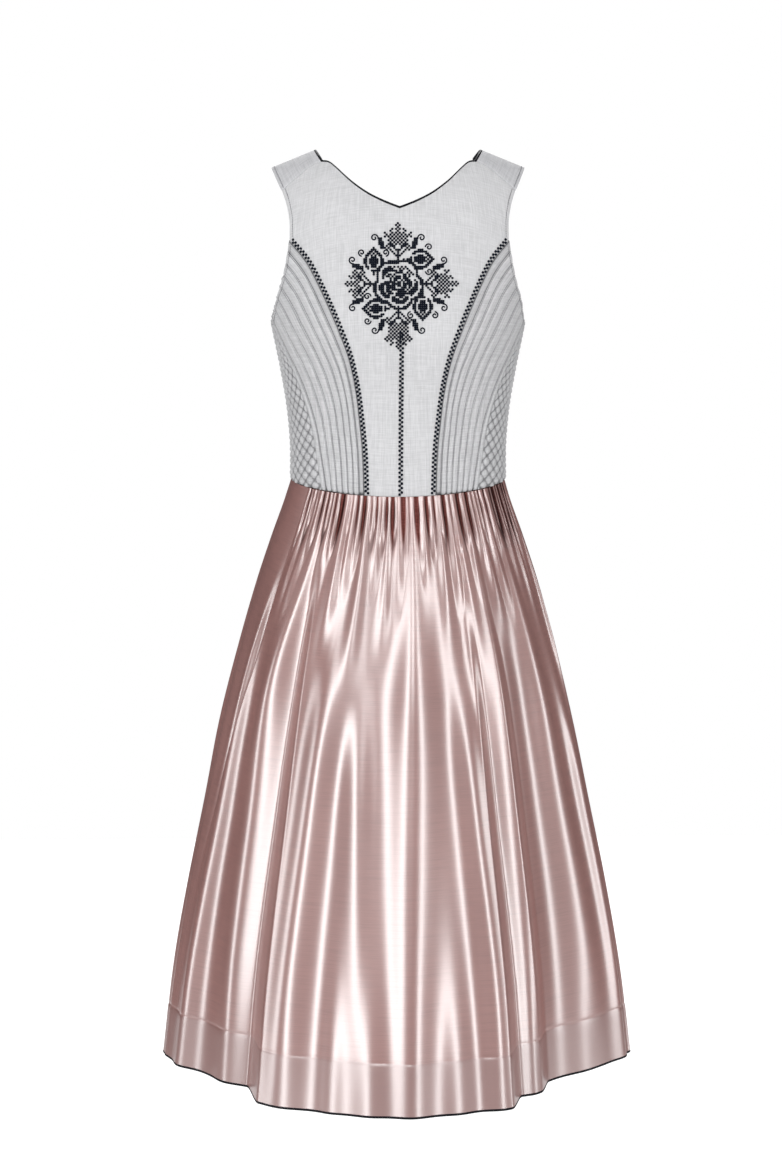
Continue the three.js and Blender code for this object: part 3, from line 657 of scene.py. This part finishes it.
LINEN_FINISH = linen_finish("grey_linen", (0.54, 0.54, 0.55, 1), (0.43, 0.43, 0.44, 1))
YOKE_FINISH = linen_finish("yoke_cloth", (0.50, 0.50, 0.515, 1), (0.39, 0.39, 0.405, 1))
# The quilted side fronts and sides are the front's linen painted darker as shade, where they turn away
# from the light; their last colour is painted shade in the quilting's lines
QUILT_FINISH = linen_finish("quilted_cloth", (0.51, 0.51, 0.52, 1), (0.37, 0.37, 0.38, 1),
                            (0.09, 0.09, 0.095, 1), 0.9)
DIAMOND_FINISH = linen_finish("diamond_cloth", (0.49, 0.49, 0.5, 1), (0.36, 0.36, 0.37, 1),
                              (0.16, 0.16, 0.165, 1), 1.5)
SATIN_FINISH = satin_finish("satin_cloth")
PIPING_FINISH = thread_finish("piping_cord", (0.006, 0.006, 0.008, 1), 0.45)
NAVY_THREAD = thread_finish("navy_thread", (0.006, 0.008, 0.014, 1))
GREY_THREAD = thread_finish("sewing_thread", (0.15, 0.15, 0.16, 1))


# Meshes
def shell_faces(rows, columns):
    """Outer sheet, inner sheet and the four edge walls of a closed shell."""
    index = np.arange(rows * columns).reshape(rows, columns)
    inner = index + rows * columns

    def quads(*corners):
        return np.stack(corners, axis=-1).reshape(-1, 4)
    return np.vstack([
        quads(index[:-1, :-1], index[:-1, 1:], index[1:, 1:], index[1:, :-1]),
        quads(inner[:-1, :-1], inner[1:, :-1], inner[1:, 1:], inner[:-1, 1:]),
        quads(index[0, :-1], inner[0, :-1], inner[0, 1:], index[0, 1:]),
        quads(index[-1, :-1], index[-1, 1:], inner[-1, 1:], inner[-1, :-1]),
        quads(index[:-1, 0], index[1:, 0], inner[1:, 0], inner[:-1, 0]),
        quads(index[:-1, -1], inner[:-1, -1], inner[1:, -1], index[1:, -1]),
    ])


def make_object(name, vertices, faces, material, maps=None):
    """maps gives each vertex's pair of numbers by the name of the UV map that holds them."""
    mesh = bpy.data.meshes.new(name)
    mesh.from_pydata((vertices * MM).tolist(), [], faces.tolist())
    loops = np.empty(len(mesh.loops), dtype=int)
    mesh.loops.foreach_get("vertex_index", loops)
    for label, pairs in (maps or {}).items():
        layer = mesh.uv_layers.new(name=label)
        layer.data.foreach_set("uv", pairs[loops].astype(np.float32).ravel())
    mesh.shade_smooth()
    mesh.set_sharp_from_angle(angle=SHARP_ANGLE)
    mesh.materials.append(material)
    made = bpy.data.objects.new(name, mesh)
    bpy.context.scene.collection.objects.link(made)
    return made


def cloth_lengths(points):
    """Distances in metres along a grid of cloth, across and up."""
    across = np.zeros(points.shape[:2])
    across[:, 1:] = np.cumsum(np.linalg.norm(np.diff(points, axis=1), axis=-1), axis=1)
    across -= across[:, across.shape[1] // 2][:, None]
    up = np.zeros(points.shape[:2])
    up[1:] = np.cumsum(np.linalg.norm(np.diff(points, axis=0), axis=-1), axis=0)
    return np.stack([across, up], axis=-1) * MM


def cloth_shell(name, outer, inner, material, places, height, mirror=False):
    """A closed thin shell between two grids of points, with a place on the cloth for each point."""
    if mirror:
        outer, inner, places, height = [grid[:, ::-1] for grid in (outer, inner, places, height)]
        outer, inner = outer * FLIP, inner * FLIP
    rows, columns = outer.shape[:2]
    vertices = np.vstack([outer.reshape(-1, 3), inner.reshape(-1, 3)])
    # The "raised" map holds each point's relief height, or on the skirt how near it is to its gathers'
    # tops; the quilted linen and the satin paint shade where it is low
    raised = np.stack([height, 0 * height], axis=-1).reshape(-1, 2)
    maps = {"cloth": np.vstack([places.reshape(-1, 2)] * 2), "raised": np.vstack([raised] * 2)}
    return make_object(name, vertices, shell_faces(rows, columns), material, maps)


def surface_normal(surface, u, v, step=0.002):
    safe_u = np.clip(u, step, 1 - step)
    safe_v = np.clip(v, step, 1 - step)
    return normal_of(surface, safe_u, safe_v, step, step)


def seam_distance(surface, u, v):
    """Distances in millimetres from each point of a panel to its left, right, bottom and top."""
    p = surface(u, v)
    ends = [surface(u * 0, v), surface(u * 0 + 1, v), surface(u, v * 0), surface(u, v * 0 + 1)]
    return [np.linalg.norm(p - end, axis=-1) for end in ends]


def bodice_cloth(node, surface, columns, rows, wall, material, relief, mirror=False):
    """A panel's cloth: a plain inner side, and an outer side raised and pressed by its relief."""
    u, v = np.meshgrid(np.linspace(SIDE_GAP, 1 - SIDE_GAP, columns + 1),
                       np.linspace(END_GAP, 1 - END_GAP, rows + 1))
    if relief is side_front_relief:
        u = u - BUNCHING * np.sin(2 * math.pi * CHANNELS * u) / (2 * math.pi * CHANNELS)
    base = surface(u, v)
    normal = surface_normal(surface, u, v)
    height = relief(u, v, seam_distance(surface, u, v))
    outer = base + normal * height[..., None]
    inner = base - normal * wall
    piece = cloth_shell(f"{node}_cloth", outer, inner, material, cloth_lengths(inner), height, mirror)
    return finish_piece(piece, [node], material)


def finish_piece(piece, nodes, material):
    """Hangs a piece under the root and hides the nodes that it stands in for; thread stands in for
    none.
    """
    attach(piece, "root")
    if nodes:
        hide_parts(*nodes)
    return piece


def front_relief(u, v, beside):
    """Pressed along its seams and under the centre braid."""
    left, right, bottom, _ = beside
    height = pressed(left, 0.3) + pressed(right, 0.3) + pressed(bottom, 0.5)
    centre = np.abs(u - 0.5) * FRONT_WIDTH
    below = smooth_step(CENTRE_LINE_TOP - v, -0.005, 0.015)
    return height + pressed(centre, 0.35, 1.6) * below


def side_front_relief(u, v, beside):
    left, right, bottom, _ = beside
    return channel_height(u) + pressed(left, 0.4, 1.2) + pressed(right, 0.4, 1.2) \
        + pressed(bottom, 0.9, 2.5)


def side_relief(u, v, beside):
    """A plain rib beside the side front, then diamonds."""
    left, _, bottom, _ = beside
    across_rib = left / SIDE_RIB["width"]
    rib = SIDE_RIB["height"] * np.sin(math.pi * np.clip(across_rib, 0, 1)) ** 0.6
    diamonds = diamond_height(u, v) * smooth_step(left - SIDE_RIB["width"], -0.4, 0.4)
    return rib + diamonds + pressed(bottom, 0.9, 2.5)


def plain_relief(u, v, beside):
    left, right, bottom, _ = beside
    return pressed(left, 0.5) + pressed(right, 0.5) + pressed(bottom, 0.5)


def yoke_relief(u, v, beside):
    _, _, bottom, top = beside
    return 0.5 + pressed(bottom, 0.9, 2.0) + pressed(top, 0.9, 2.0)


pieces = {}
surfaces = {name: panel_surface(name) for name in PATCHES}
pieces["front_centre"] = bodice_cloth("front_centre", surfaces["front"], 110, 100, LINEN,
                                      LINEN_FINISH, front_relief)
for hand, mirror in (("right", False), ("left", True)):
    # node, panel, columns, rows, wall, finish, relief
    for node, surface, columns, rows, wall, finish, relief in (
            ("side_front", surfaces["side_front"], 140, 70, QUILT, QUILT_FINISH, side_front_relief),
            ("side", surfaces["side"], 180, 120, QUILT, DIAMOND_FINISH, side_relief),
            ("back", surfaces["back"], 50, 80, LINEN, LINEN_FINISH, plain_relief),
            ("shoulder_yoke", yoke_surface, 36, 60, LINEN, YOKE_FINISH, yoke_relief)):
        pieces[f"{node}_{hand}"] = bodice_cloth(f"{node}_{hand}", surface, columns, rows, wall,
                                                finish, relief, mirror)


# Skirt cloth
def skirt_cloth(node, panel):
    """Rows lie closer near the waist, and a few more lie on both sides of the hem's stitches."""
    surface = skirt_surface(panel)
    beside_stitches = np.array([-4, -2.2, -1, 0, 1, 2.2, 4])
    rows_down = np.concatenate([np.linspace(1, 0.0002, panel["rows"] + 1) ** 1.3,
                                1 - (HEM_TURN + beside_stitches) / SKIRT_LENGTH])
    across, share = np.meshgrid(np.linspace(0.0003, 0.9997, panel["columns"] + 1),
                                np.sort(rows_down)[::-1])
    outer = surface(across, share)
    normal = -surface_normal(surface, across, share, 0.0012)
    inner = outer - normal * SATIN
    places = np.stack([across * SATIN_ACROSS, (1 - share) * SKIRT_LENGTH * MM], axis=-1)
    # How near each point is to the gathers' tops goes to the "raised" map, where the satin paints shade
    piece = cloth_shell(f"{node}_cloth", outer, inner, SATIN_FINISH, places,
                        gather_share(panel, across, share))
    return finish_piece(piece, [node], SATIN_FINISH), (outer[0], inner[0])


hem_rows = []
for side, panel in SKIRT_PANELS.items():
    pieces[f"skirt_{side}"], hem_row = skirt_cloth(f"skirt_{side}", panel)
    hem_rows.append(hem_row)


# Stitches: each is a short bowed thread with its own place, direction and length
def stitch_tree():
    group = bpy.data.node_groups.new("stitches", "GeometryNodeTree")
    for label, way, kind in (("Places", "INPUT", "Geometry"), ("Thread radius", "INPUT", "Float"),
                             ("Bow", "INPUT", "Float"), ("Thread", "INPUT", "Material"),
                             ("Stitches", "OUTPUT", "Geometry")):
        group.interface.new_socket(name=label, in_out=way, socket_type="NodeSocket" + kind)
    tree = Tree(group)
    start = tree.node("NodeGroupInput")
    given = {wire.socket.name: wire for wire in tree.outputs_of(start)}
    bowed = tree.node("ShaderNodeCombineXYZ", None, {"Z": given["Bow"] * 2.0})
    line = tree.node("GeometryNodeCurveQuadraticBezier", None,
                     {"Resolution": 3, "Start": (-0.5, 0, 0), "Middle": bowed,
                      "End": (0.5, 0, 0)})
    round_thread = tree.node("GeometryNodeCurvePrimitiveCircle", None,
                             {"Resolution": 4, "Radius": given["Thread radius"]})
    thread = tree.node("GeometryNodeCurveToMesh", None,
                       {"Curve": line, "Profile Curve": round_thread, "Fill Caps": True})

    def stored(name, kind):
        return tree.node("GeometryNodeInputNamedAttribute", {"data_type": kind}, {"Name": name})
    turned = tree.node("FunctionNodeAlignRotationToVector", {"axis": "X"},
                       {"Vector": stored("along", "FLOAT_VECTOR")})
    turned = tree.node("FunctionNodeAlignRotationToVector", {"axis": "Z", "pivot_axis": "X"},
                       {"Rotation": turned, "Vector": stored("outward", "FLOAT_VECTOR")})
    size = tree.node("ShaderNodeCombineXYZ", None,
                     {"X": stored("length", "FLOAT"), "Y": 1.0, "Z": 1.0})
    placed = tree.node("GeometryNodeInstanceOnPoints", None,
                       {"Points": given["Places"], "Instance": thread, "Rotation": turned,
                        "Scale": size})
    real = tree.node("GeometryNodeRealizeInstances", None, {"Geometry": placed})
    painted = tree.node("GeometryNodeSetMaterial", None,
                        {"Geometry": real, "Material": given["Thread"]})
    tree.node("NodeGroupOutput", None, {"Stitches": painted})
    return group


STITCHES = stitch_tree()


def baked(made):
    """The evaluated mesh in place of the modifier."""
    depsgraph = bpy.context.evaluated_depsgraph_get()
    mesh = bpy.data.meshes.new_from_object(made.evaluated_get(depsgraph))
    made.modifiers.clear()
    made.data = mesh
    mesh.shade_smooth()
    return made


def sewn(name, places, along, outward, lengths, thread, material):
    """A thread piece: one stitch at each place, all in millimetres; lengths may be one number."""
    mesh = bpy.data.meshes.new(name)
    mesh.from_pydata((places * MM).tolist(), [], [])
    for label, kind, values in (("along", "FLOAT_VECTOR", along),
                                ("outward", "FLOAT_VECTOR", outward),
                                ("length", "FLOAT", np.broadcast_to(lengths, len(places)) * MM)):
        attribute = mesh.attributes.new(label, kind, "POINT")
        field = "vector" if kind == "FLOAT_VECTOR" else "value"
        attribute.data.foreach_set(field, np.asarray(values, dtype=np.float32).ravel())
    made = bpy.data.objects.new(name, mesh)
    bpy.context.scene.collection.objects.link(made)
    modifier = made.modifiers.new("stitches", "NODES")
    modifier.node_group = STITCHES
    values = {"Thread radius": thread["radius"] * MM, "Bow": thread["bow"] * MM,
              "Thread": material}
    for item in STITCHES.interface.items_tree:
        if item.in_out == "INPUT" and item.name in values:
            modifier[item.identifier] = values[item.name]
    return finish_piece(baked(made), [], material)


def joined(parts):
    """The arrays of several parts, one kind after the other."""
    return [np.concatenate(arrays) for arrays in zip(*parts)]


def both_hands(runs):
    return [np.vstack([grid, grid * FLIP]) for grid in joined(runs)]


def seam_line(surface, u, v, lift):
    """Places, directions and normals along a line on a panel, all but its last point."""
    points = surface(u, v)
    normal = surface_normal(surface, u, v)
    middle = (points[1:] + points[:-1]) / 2 + normal[:-1] * lift
    return middle, unit(np.diff(points, axis=0)), normal[:-1]


def even_line(surface, u, v, pitch):
    """The same line with its stops one stitch apart."""
    points = surface(u, v)
    lengths = np.concatenate([[0], np.cumsum(np.linalg.norm(np.diff(points, axis=0), axis=1))])
    stops = np.linspace(0, lengths[-1], max(2, int(lengths[-1] / pitch)) + 1)
    return np.interp(stops, lengths, u), np.interp(stops, lengths, v)


def run_of_stitches(surface, u, v, pitch, lift, relief):
    """Stitches along a line on a panel, over its relief where it has one."""
    u, v = even_line(surface, u, v, pitch)
    middle, along, normal = seam_line(surface, u, v, lift)
    if relief is not None:
        height = relief(u, v, seam_distance(surface, u, v))
        middle = middle + normal * ((height[1:] + height[:-1]) / 2)[:, None]
    return middle, along, normal


def topstitching():
    """Fine machine stitches: doubled along each quilted channel, single inside the armholes."""
    runs = []
    pitch = TOPSTITCH["pitch"]
    v = np.linspace(0.004, 0.985, 300)
    side_front = surfaces["side_front"]
    for k in range(1, CHANNELS + 1):
        for beside in (-STITCH_GAP, STITCH_GAP):
            u = np.clip(k / CHANNELS + beside + 0 * v, 0, 0.988)
            runs.append(run_of_stitches(side_front, u, v, pitch, 0.12, side_front_relief))
    t = np.linspace(0.01, 0.99, 200)
    up_armhole = mix(ARMHOLE_SHARE, 1.0, t)
    # panel, line across it, line up it, height over its relief, relief
    for surface, u, v, lift, relief in (
            (side_front, t, 0 * t + 0.987, 0.2, side_front_relief),
            (surfaces["front"], 0 * t + 0.985, up_armhole, 0.2, front_relief),
            (yoke_surface, 0 * t + 0.93, t, 0.7, None),
            (surfaces["side"], t, 0 * t + 0.985, 0.3, side_relief),
            (surfaces["back"], 0 * t + 0.03, up_armhole, 0.2, plain_relief)):
        runs.append(run_of_stitches(surface, u, v, pitch, lift, relief))
    return sewn("topstitching", *both_hands(runs), TOPSTITCH["length"], TOPSTITCH, GREY_THREAD)


def diamond_stitching():
    """The lines that quilt the side panels into diamonds."""
    along = DIAMONDS["along"]
    side = surfaces["side"]
    u = np.linspace(0.06, 0.995, 160)
    runs = []
    for k in range(-math.ceil(along), math.ceil(DIAMONDS["falling"] + along)):
        for hand, across in ((1, DIAMONDS["falling"]), (-1, DIAMONDS["rising"])):
            v = hand * (k - u * across) / along
            kept = (v > 0.012) & (v < 0.985)
            if kept.sum() > 3:
                runs.append(run_of_stitches(side, u[kept], v[kept], DIAMOND_STITCH["pitch"], 0.1,
                                            side_relief))
    return sewn("diamond_stitching", *both_hands(runs), DIAMOND_STITCH["length"], DIAMOND_STITCH,
                GREY_THREAD)


# Cross-stitch: two bowed threads across each filled cell
def crosses(cells, directions, normals, size):
    """Both diagonals of each cell, the second one lying over the first."""
    other = np.cross(normals, directions)
    first, second = unit(directions + other), unit(directions - other)
    places = np.vstack([cells + normals * CROSS["under"], cells + normals * CROSS["over"]])
    along = np.vstack([first, second])
    outward = np.vstack([normals, normals])
    return places, along, outward, np.full(len(places), size * CROSS["length"])


def braid_on_front(u, v, first_side):
    """A narrow band two cells wide, filled on its left and right in turn."""
    front, cell = surfaces["front"], BRAID["cell"]
    u, v = even_line(front, u, v, cell)
    middle, along, normal = seam_line(front, u, v, 0.1)
    sideways = np.cross(normal, along)
    turn = np.where(np.arange(len(middle)) % 2 == first_side, 1, -1)[:, None]
    return crosses(middle + sideways * turn * cell * 0.52, along, normal, cell)


def braids():
    """The bands beside both princess seams and the one up the middle of the front."""
    v = np.linspace(0.004, ARMHOLE_SHARE - 0.004, 400)
    front = surfaces["front"]
    width = np.linalg.norm(front(v * 0 + 1, v) - front(v * 0 + 0.99, v), axis=-1) / 0.01
    inset = BRAID["inset"] / width
    up_centre = np.linspace(0.004, CENTRE_LINE_TOP, 300)
    lines = [(1 - inset, v), (inset, v), (0.508 + 0 * up_centre, up_centre)]
    bands = [braid_on_front(*line, k % 2) for k, line in enumerate(lines)]
    return sewn("seam_braids", *joined(bands), BRAID, NAVY_THREAD)


# The medallion's chart: cells counted from the middle of its rose, across and up
MEDALLION = {"middle": (-2.4, -146), "cell": 2.12, "size": 36, "radius": 0.82, "bow": 0.2}
SPRAYS = [(0, 31), (90, 31), (180, 28), (270, 34)]  # degrees, cells long
BUDS = [(12, 13, 0), (-13, 12, 90), (-12, -13, 180), (13, -12, 270)]  # cells across, up, degrees


def rose_cells(i, j):
    """An open rose: dark petals parted by light lines, inside a ring of stitches."""
    reach, turn = np.hypot(i, j), np.arctan2(j, i)
    lobes = np.abs(np.cos(2.5 * turn + 0.5))
    ring = np.abs(reach - 11.2 - 1.9 * lobes) < 0.75
    body = reach < 8.9 + 1.8 * lobes
    gaps = np.zeros(body.shape, dtype=bool)
    for radius, wave, lobe, phase in ((1.9, 0.4, 1, 0.4), (4.3, 0.8, 3, 1.3), (7.2, 0.8, 5, 0.2)):
        gaps |= np.abs(reach - radius - wave * np.cos(lobe * turn + phase)) < 0.38
    outer = (reach > 7.3) & (np.abs(np.sin(2.5 * turn + 0.5)) > 0.97)
    inner = (reach > 4.6) & (reach < 6.9) & (np.abs(np.sin(2 * turn + 0.9)) < 0.16)
    every_other = (i + j) % 2 == 0
    shaded = (reach > 7.5) & (turn > 0.1) & (turn < 1.9) & every_other
    shaded |= (reach > 4.9) & (reach < 6.6) & (turn > 1.9) & (turn < 2.9) & every_other
    return ring | (body & ~gaps & ~outer & ~inner & ~shaded)


def spray_cells(out, side, length):
    """A fan growing outwards: striped leaves, a lattice, spiked tips and two side leaves."""
    across = np.abs(side)
    every_other = (out + across) % 2 == 0
    stem = (across == 0) & (out >= 12) & (out <= 18)
    stripes = ((out - across) % 3 == 2) & (out - across >= 14) & (out - across <= 20) \
        & (across >= 1) & (across <= 7) & (out + 0.5 * across < 24)
    lattice = every_other & (out + 0.3 * across >= 20.5) & (across <= 5) & (out < length - 4)
    tips = every_other & (across % 3 != 2) & (across <= 7) & (out >= length - 6) \
        & (out <= length - 0.7 * across + 1)
    leaf = ((out - 13.4 - across * 0.9) / 2.6) ** 2 + ((across - 9.0) / 1.9) ** 2 < 1
    stalk = (across >= 6) & (across <= 8) & (out - across == 12)
    return stem | stripes | lattice | tips | leaf | stalk


def bud_cells(along, beside):
    """A pointed bud: dark heart, light gap and an outline that closes to a point."""
    share = (along + 5.5) / 12.5
    half = 4.6 * np.sin(math.pi * np.clip(share, 0, 1) ** 0.8) ** 0.9
    inside = (share >= 0) & (share <= 1)
    outline = inside & (np.abs(np.abs(beside) - half) < 0.62)
    heart = (((along + 0.4) / 3.1) ** 2 + (beside / 2.3) ** 2) < 1
    stem = (beside == 0) & (along < -4.6) & (along > -7.5)
    rays = inside & (np.abs(beside) < half) & (along > 2.6) & ((along + beside) % 2 == 0)
    return outline | heart | stem | rays


def turned_by(x, z, degrees):
    cosine = math.cos(math.radians(degrees))
    sine = math.sin(math.radians(degrees))
    return x * cosine - z * sine, x * sine + z * cosine


def curl_line(x, z, start, hand, size):
    """A tendril that winds inwards."""
    t = np.linspace(0, 1, 40)
    reach = size * (1 - 0.8 * t)
    turn = math.radians(start) + hand * t * 2.5 * math.pi
    return x + reach * np.cos(turn), z + reach * np.sin(turn)


def medallion_cells():
    size = MEDALLION["size"]
    j, i = np.mgrid[-size:size + 1, -size:size + 1]
    filled = rose_cells(i, j)
    for degrees, length in SPRAYS:
        out, side = turned_by(i, j, -degrees)
        filled |= spray_cells(np.rint(out).astype(int), np.rint(side).astype(int), length)
    for x, z, degrees in BUDS:
        along, beside = turned_by(i - x, j - z, -degrees)
        filled |= bud_cells(np.rint(along).astype(int), np.rint(beside).astype(int))
    rows, columns = np.nonzero(filled)
    return columns - size, rows - size


def medallion_curls():
    lines = []
    for hand in (1, -1):
        for degrees, _ in SPRAYS:
            lines.append(turned_by(*curl_line(24.3, 12.6 * hand, -110 * hand, hand, 2.1), degrees))
        for x, z, degrees in BUDS:
            across, up = turned_by(*curl_line(4.5, 6.4 * hand, 180, -hand, 1.9), degrees)
            lines.append((x + across, z + up))
    return lines


def front_place(i, j):
    """The front panel's point at a cell, its upward direction and its normal."""
    x = MEDALLION["middle"][0] + i * MEDALLION["cell"]
    z = MEDALLION["middle"][1] + j * MEDALLION["cell"]

    def point(x, z):
        return bodice_point(angle_at(x, z, True), z)
    upward = unit(point(x, z + 1) - point(x, z - 1))
    rightward = point(x + 1, z) - point(x - 1, z)
    return point(x, z), upward, unit(np.cross(rightward, upward))


def medallion():
    """Crosses for the chart's cells, and tendrils of short stitches."""
    parts = [crosses(*front_place(*medallion_cells()), MEDALLION["cell"])]
    for i, j in medallion_curls():
        points, _, normals = front_place(i, j)
        steps = np.diff(points, axis=0)
        middle = (points[1:] + points[:-1]) / 2 + normals[1:] * CROSS["under"]
        parts.append((middle, unit(steps), normals[1:], np.linalg.norm(steps, axis=1) * 1.15))
    return sewn("medallion", *joined(parts), MEDALLION, NAVY_THREAD)


pieces["topstitching"] = topstitching()
pieces["diamond_stitching"] = diamond_stitching()
pieces["seam_braids"] = braids()
pieces["medallion"] = medallion()


# Cords along the edges
def corded_edge(name, nodes, centres, outward, upward, cord, material):
    """A closed cord round a ring of centres, with an oval section."""
    count, sides = len(centres), cord["sides"]
    turns = 2 * math.pi * (np.arange(sides) + 0.5) / sides
    ring = centres[:, None, :] \
        + outward[:, None, :] * (cord["out"] * np.cos(turns))[None, :, None] \
        + upward[:, None, :] * (cord["up"] * np.sin(turns))[None, :, None]
    i, j = np.meshgrid(np.arange(count), np.arange(sides), indexing="ij")
    following, beside = (i + 1) % count, (j + 1) % sides
    faces = np.stack([i * sides + j, following * sides + j, following * sides + beside,
                      i * sides + beside], axis=-1).reshape(-1, 4)
    made = make_object(name, ring.reshape(-1, 3), faces, material)
    if shell_volume(made.data) < 0:
        made.data.flip_normals()
    return finish_piece(made, nodes, material)


def shell_volume(mesh):
    mesh.calc_loop_triangles()
    corners = np.array([[mesh.vertices[k].co for k in t.vertices] for t in mesh.loop_triangles])
    return float(np.einsum("ij,ij->i", corners[:, 0],
                           np.cross(corners[:, 1], corners[:, 2])).sum()) / 6


def neck_piping():
    """Piping from the middle of the front over both shoulders and across the back."""
    t = np.linspace(0, 1, 60, endpoint=False)

    def edge_stops(surface, u, v, inward_u, inward_v, wall):
        edge = surface(u, v)
        normal = surface_normal(surface, u, v)
        inside = surface(u + inward_u, v + inward_v)
        up = edge - inside
        up = unit(up - normal * np.sum(up * normal, axis=-1, keepdims=True))
        return edge - normal * wall / 2 + up * PIPING["past_edge"], normal, up
    parts = [
        edge_stops(surfaces["front"], mix(0.5, 0.5 + NECK_SHARE / 2, t), 0 * t + 1, 0, -0.02, LINEN),
        edge_stops(yoke_surface, 0 * t, t, 0.05, 0, LINEN),
        edge_stops(surfaces["back"], mix(YOKE_SHARE, 1, t), 0 * t + 1, 0, -0.02, LINEN),
    ]
    centres, outward, upward = [smoothed_ring(np.vstack([half, (half * FLIP)[::-1]]))
                                for half in joined(parts)]
    return corded_edge("neck_piping_cord", ["neck_piping"], centres, unit(outward), unit(upward),
                       PIPING, PIPING_FINISH)


def smoothed_ring(points, rounds=2):
    for _ in range(rounds):
        points = (np.roll(points, 1, axis=0) + 2 * points + np.roll(points, -1, axis=0)) / 4
    return points


def hem_edging():
    """Edging under both skirt panels' lowest rows."""
    outer, inner = joined(hem_rows)
    upward = np.zeros_like(outer) + (0, 0, 1)
    centres = (outer + inner) / 2 - upward * EDGING["past_edge"]
    return corded_edge("hem_edging_cord", ["hem_edging"], centres, unit(outer - inner), upward,
                       EDGING, PIPING_FINISH)


pieces["neck_piping"] = neck_piping()
pieces["hem_edging"] = hem_edging()


# Camera, light and floor
PHOTO = {"height": 1175, "focal_length": 3439.19, "shift": 7}  # pixels
VIEW = {"azimuth": math.radians(-1.5), "pitch": math.radians(7.921), "distance": 4.0, "height": 0.05}
WORLD_LIGHT = {"beside": 0.23, "change": 0.16}  # by which it is brighter in front, dimmer behind


def make_camera():
    data = bpy.data.cameras.new("camera")
    camera = bpy.data.objects.new("camera", data)
    bpy.context.scene.collection.objects.link(camera)
    azimuth, distance = VIEW["azimuth"], VIEW["distance"]
    camera.location = (distance * math.sin(azimuth), -distance * math.cos(azimuth), VIEW["height"])
    camera.rotation_euler = (math.pi / 2 - VIEW["pitch"], 0, azimuth)
    data.sensor_width = 36
    data.lens = PHOTO["focal_length"] / PHOTO["height"] * data.sensor_width
    data.shift_x = -PHOTO["shift"] / PHOTO["height"]
    data.clip_end = 60
    bpy.context.scene.camera = camera


# name, place, what it points at, width and height, watts
LIGHTS = [
    ("side_left", (-3.1, -0.4, -0.9), (0, 0, -0.8), (0.7, 1.8), 19),
    ("side_right", (3.1, -0.4, -0.9), (0, 0, -0.8), (0.7, 1.8), 19),
    ("above_camera", (-0.5, -4.3, 1.7), (0, 0, -0.4), (1.0, 1.7), 30),
    ("overhead", (-0.2, -3.3, 2.6), (0, 0, -0.4), (4.0, 1.2), 66),
    ("front_left", (-2.5, -3.4, 0.1), (0, 0, 0.1), (1.1, 4.6), 94),
    ("front_right", (2.5, -3.4, 0.1), (0, 0, 0.1), (0.9, 4.6), 75),
    ("behind", (0, 3.6, 2.6), (0, 0, -0.5), (3.2, 1.6), 170),
]


def area_light(name, place, aim, size, power):
    data = bpy.data.lights.new(name, "AREA")
    data.shape = "RECTANGLE"
    data.size, data.size_y = size
    data.energy = power
    light = bpy.data.objects.new(name, data)
    light.location = place
    light.rotation_euler = (Vector(aim) - Vector(place)).to_track_quat("-Z", "Y").to_euler()
    bpy.context.scene.collection.objects.link(light)


def make_world():
    """White where the camera looks past the dress, dim where the cloth is lit from."""
    world = bpy.data.worlds.new("studio")
    world.use_nodes = True
    sky = Tree(world.node_tree)
    sky.nodes.clear()
    seen = sky.node("ShaderNodeLightPath", output="Is Camera Ray")
    _, behind, _ = sky.parts_of(sky.node("ShaderNodeTexCoord", output="Generated"))
    lit = WORLD_LIGHT["beside"] - behind * WORLD_LIGHT["change"]
    strength = seen + (1 - seen) * lit
    glow = sky.node("ShaderNodeBackground", None, {"Color": (1, 1, 1, 1), "Strength": strength})
    sky.node("ShaderNodeOutputWorld", None, {"Surface": glow})
    bpy.context.scene.world = world


def make_studio():
    make_world()
    for light in LIGHTS:
        area_light(*light)
    floor = Finish("floor")
    floor.looks(Base_Color=(0.25, 0.25, 0.25, 1), Roughness=0.9, Specular_IOR_Level=0.0,
                Emission_Color=(1, 1, 1, 1), Emission_Strength=1.0)
    reach, near, far, level = 1.4, -1.0, 3.0, -1.45
    mesh = bpy.data.meshes.new("floor")
    mesh.from_pydata([(-reach, near, level), (reach, near, level), (reach, far, level),
                      (-reach, far, level)], [], [(0, 1, 2, 3)])
    mesh.materials.append(floor.material)
    made = bpy.data.objects.new("floor", mesh)
    bpy.context.scene.collection.objects.link(made)
    bpy.context.scene.view_settings.view_transform = "Standard"


make_camera()
make_studio()

# Each panel's cut, width and length in metres, and its area where that isn't a rectangle's
CUTS = {
    "front_centre": (0.28, 0.35, 0.058), "side_front": (0.105, 0.29, 0.0185),
    "side": (0.17, 0.24, 0.027), "back": (0.15, 0.38, 0.034), "shoulder_yoke": (0.06, 0.1, 0.0045),
}
for name, piece in pieces.items():
    panel = name.removesuffix("_right").removesuffix("_left")
    panel in CUTS
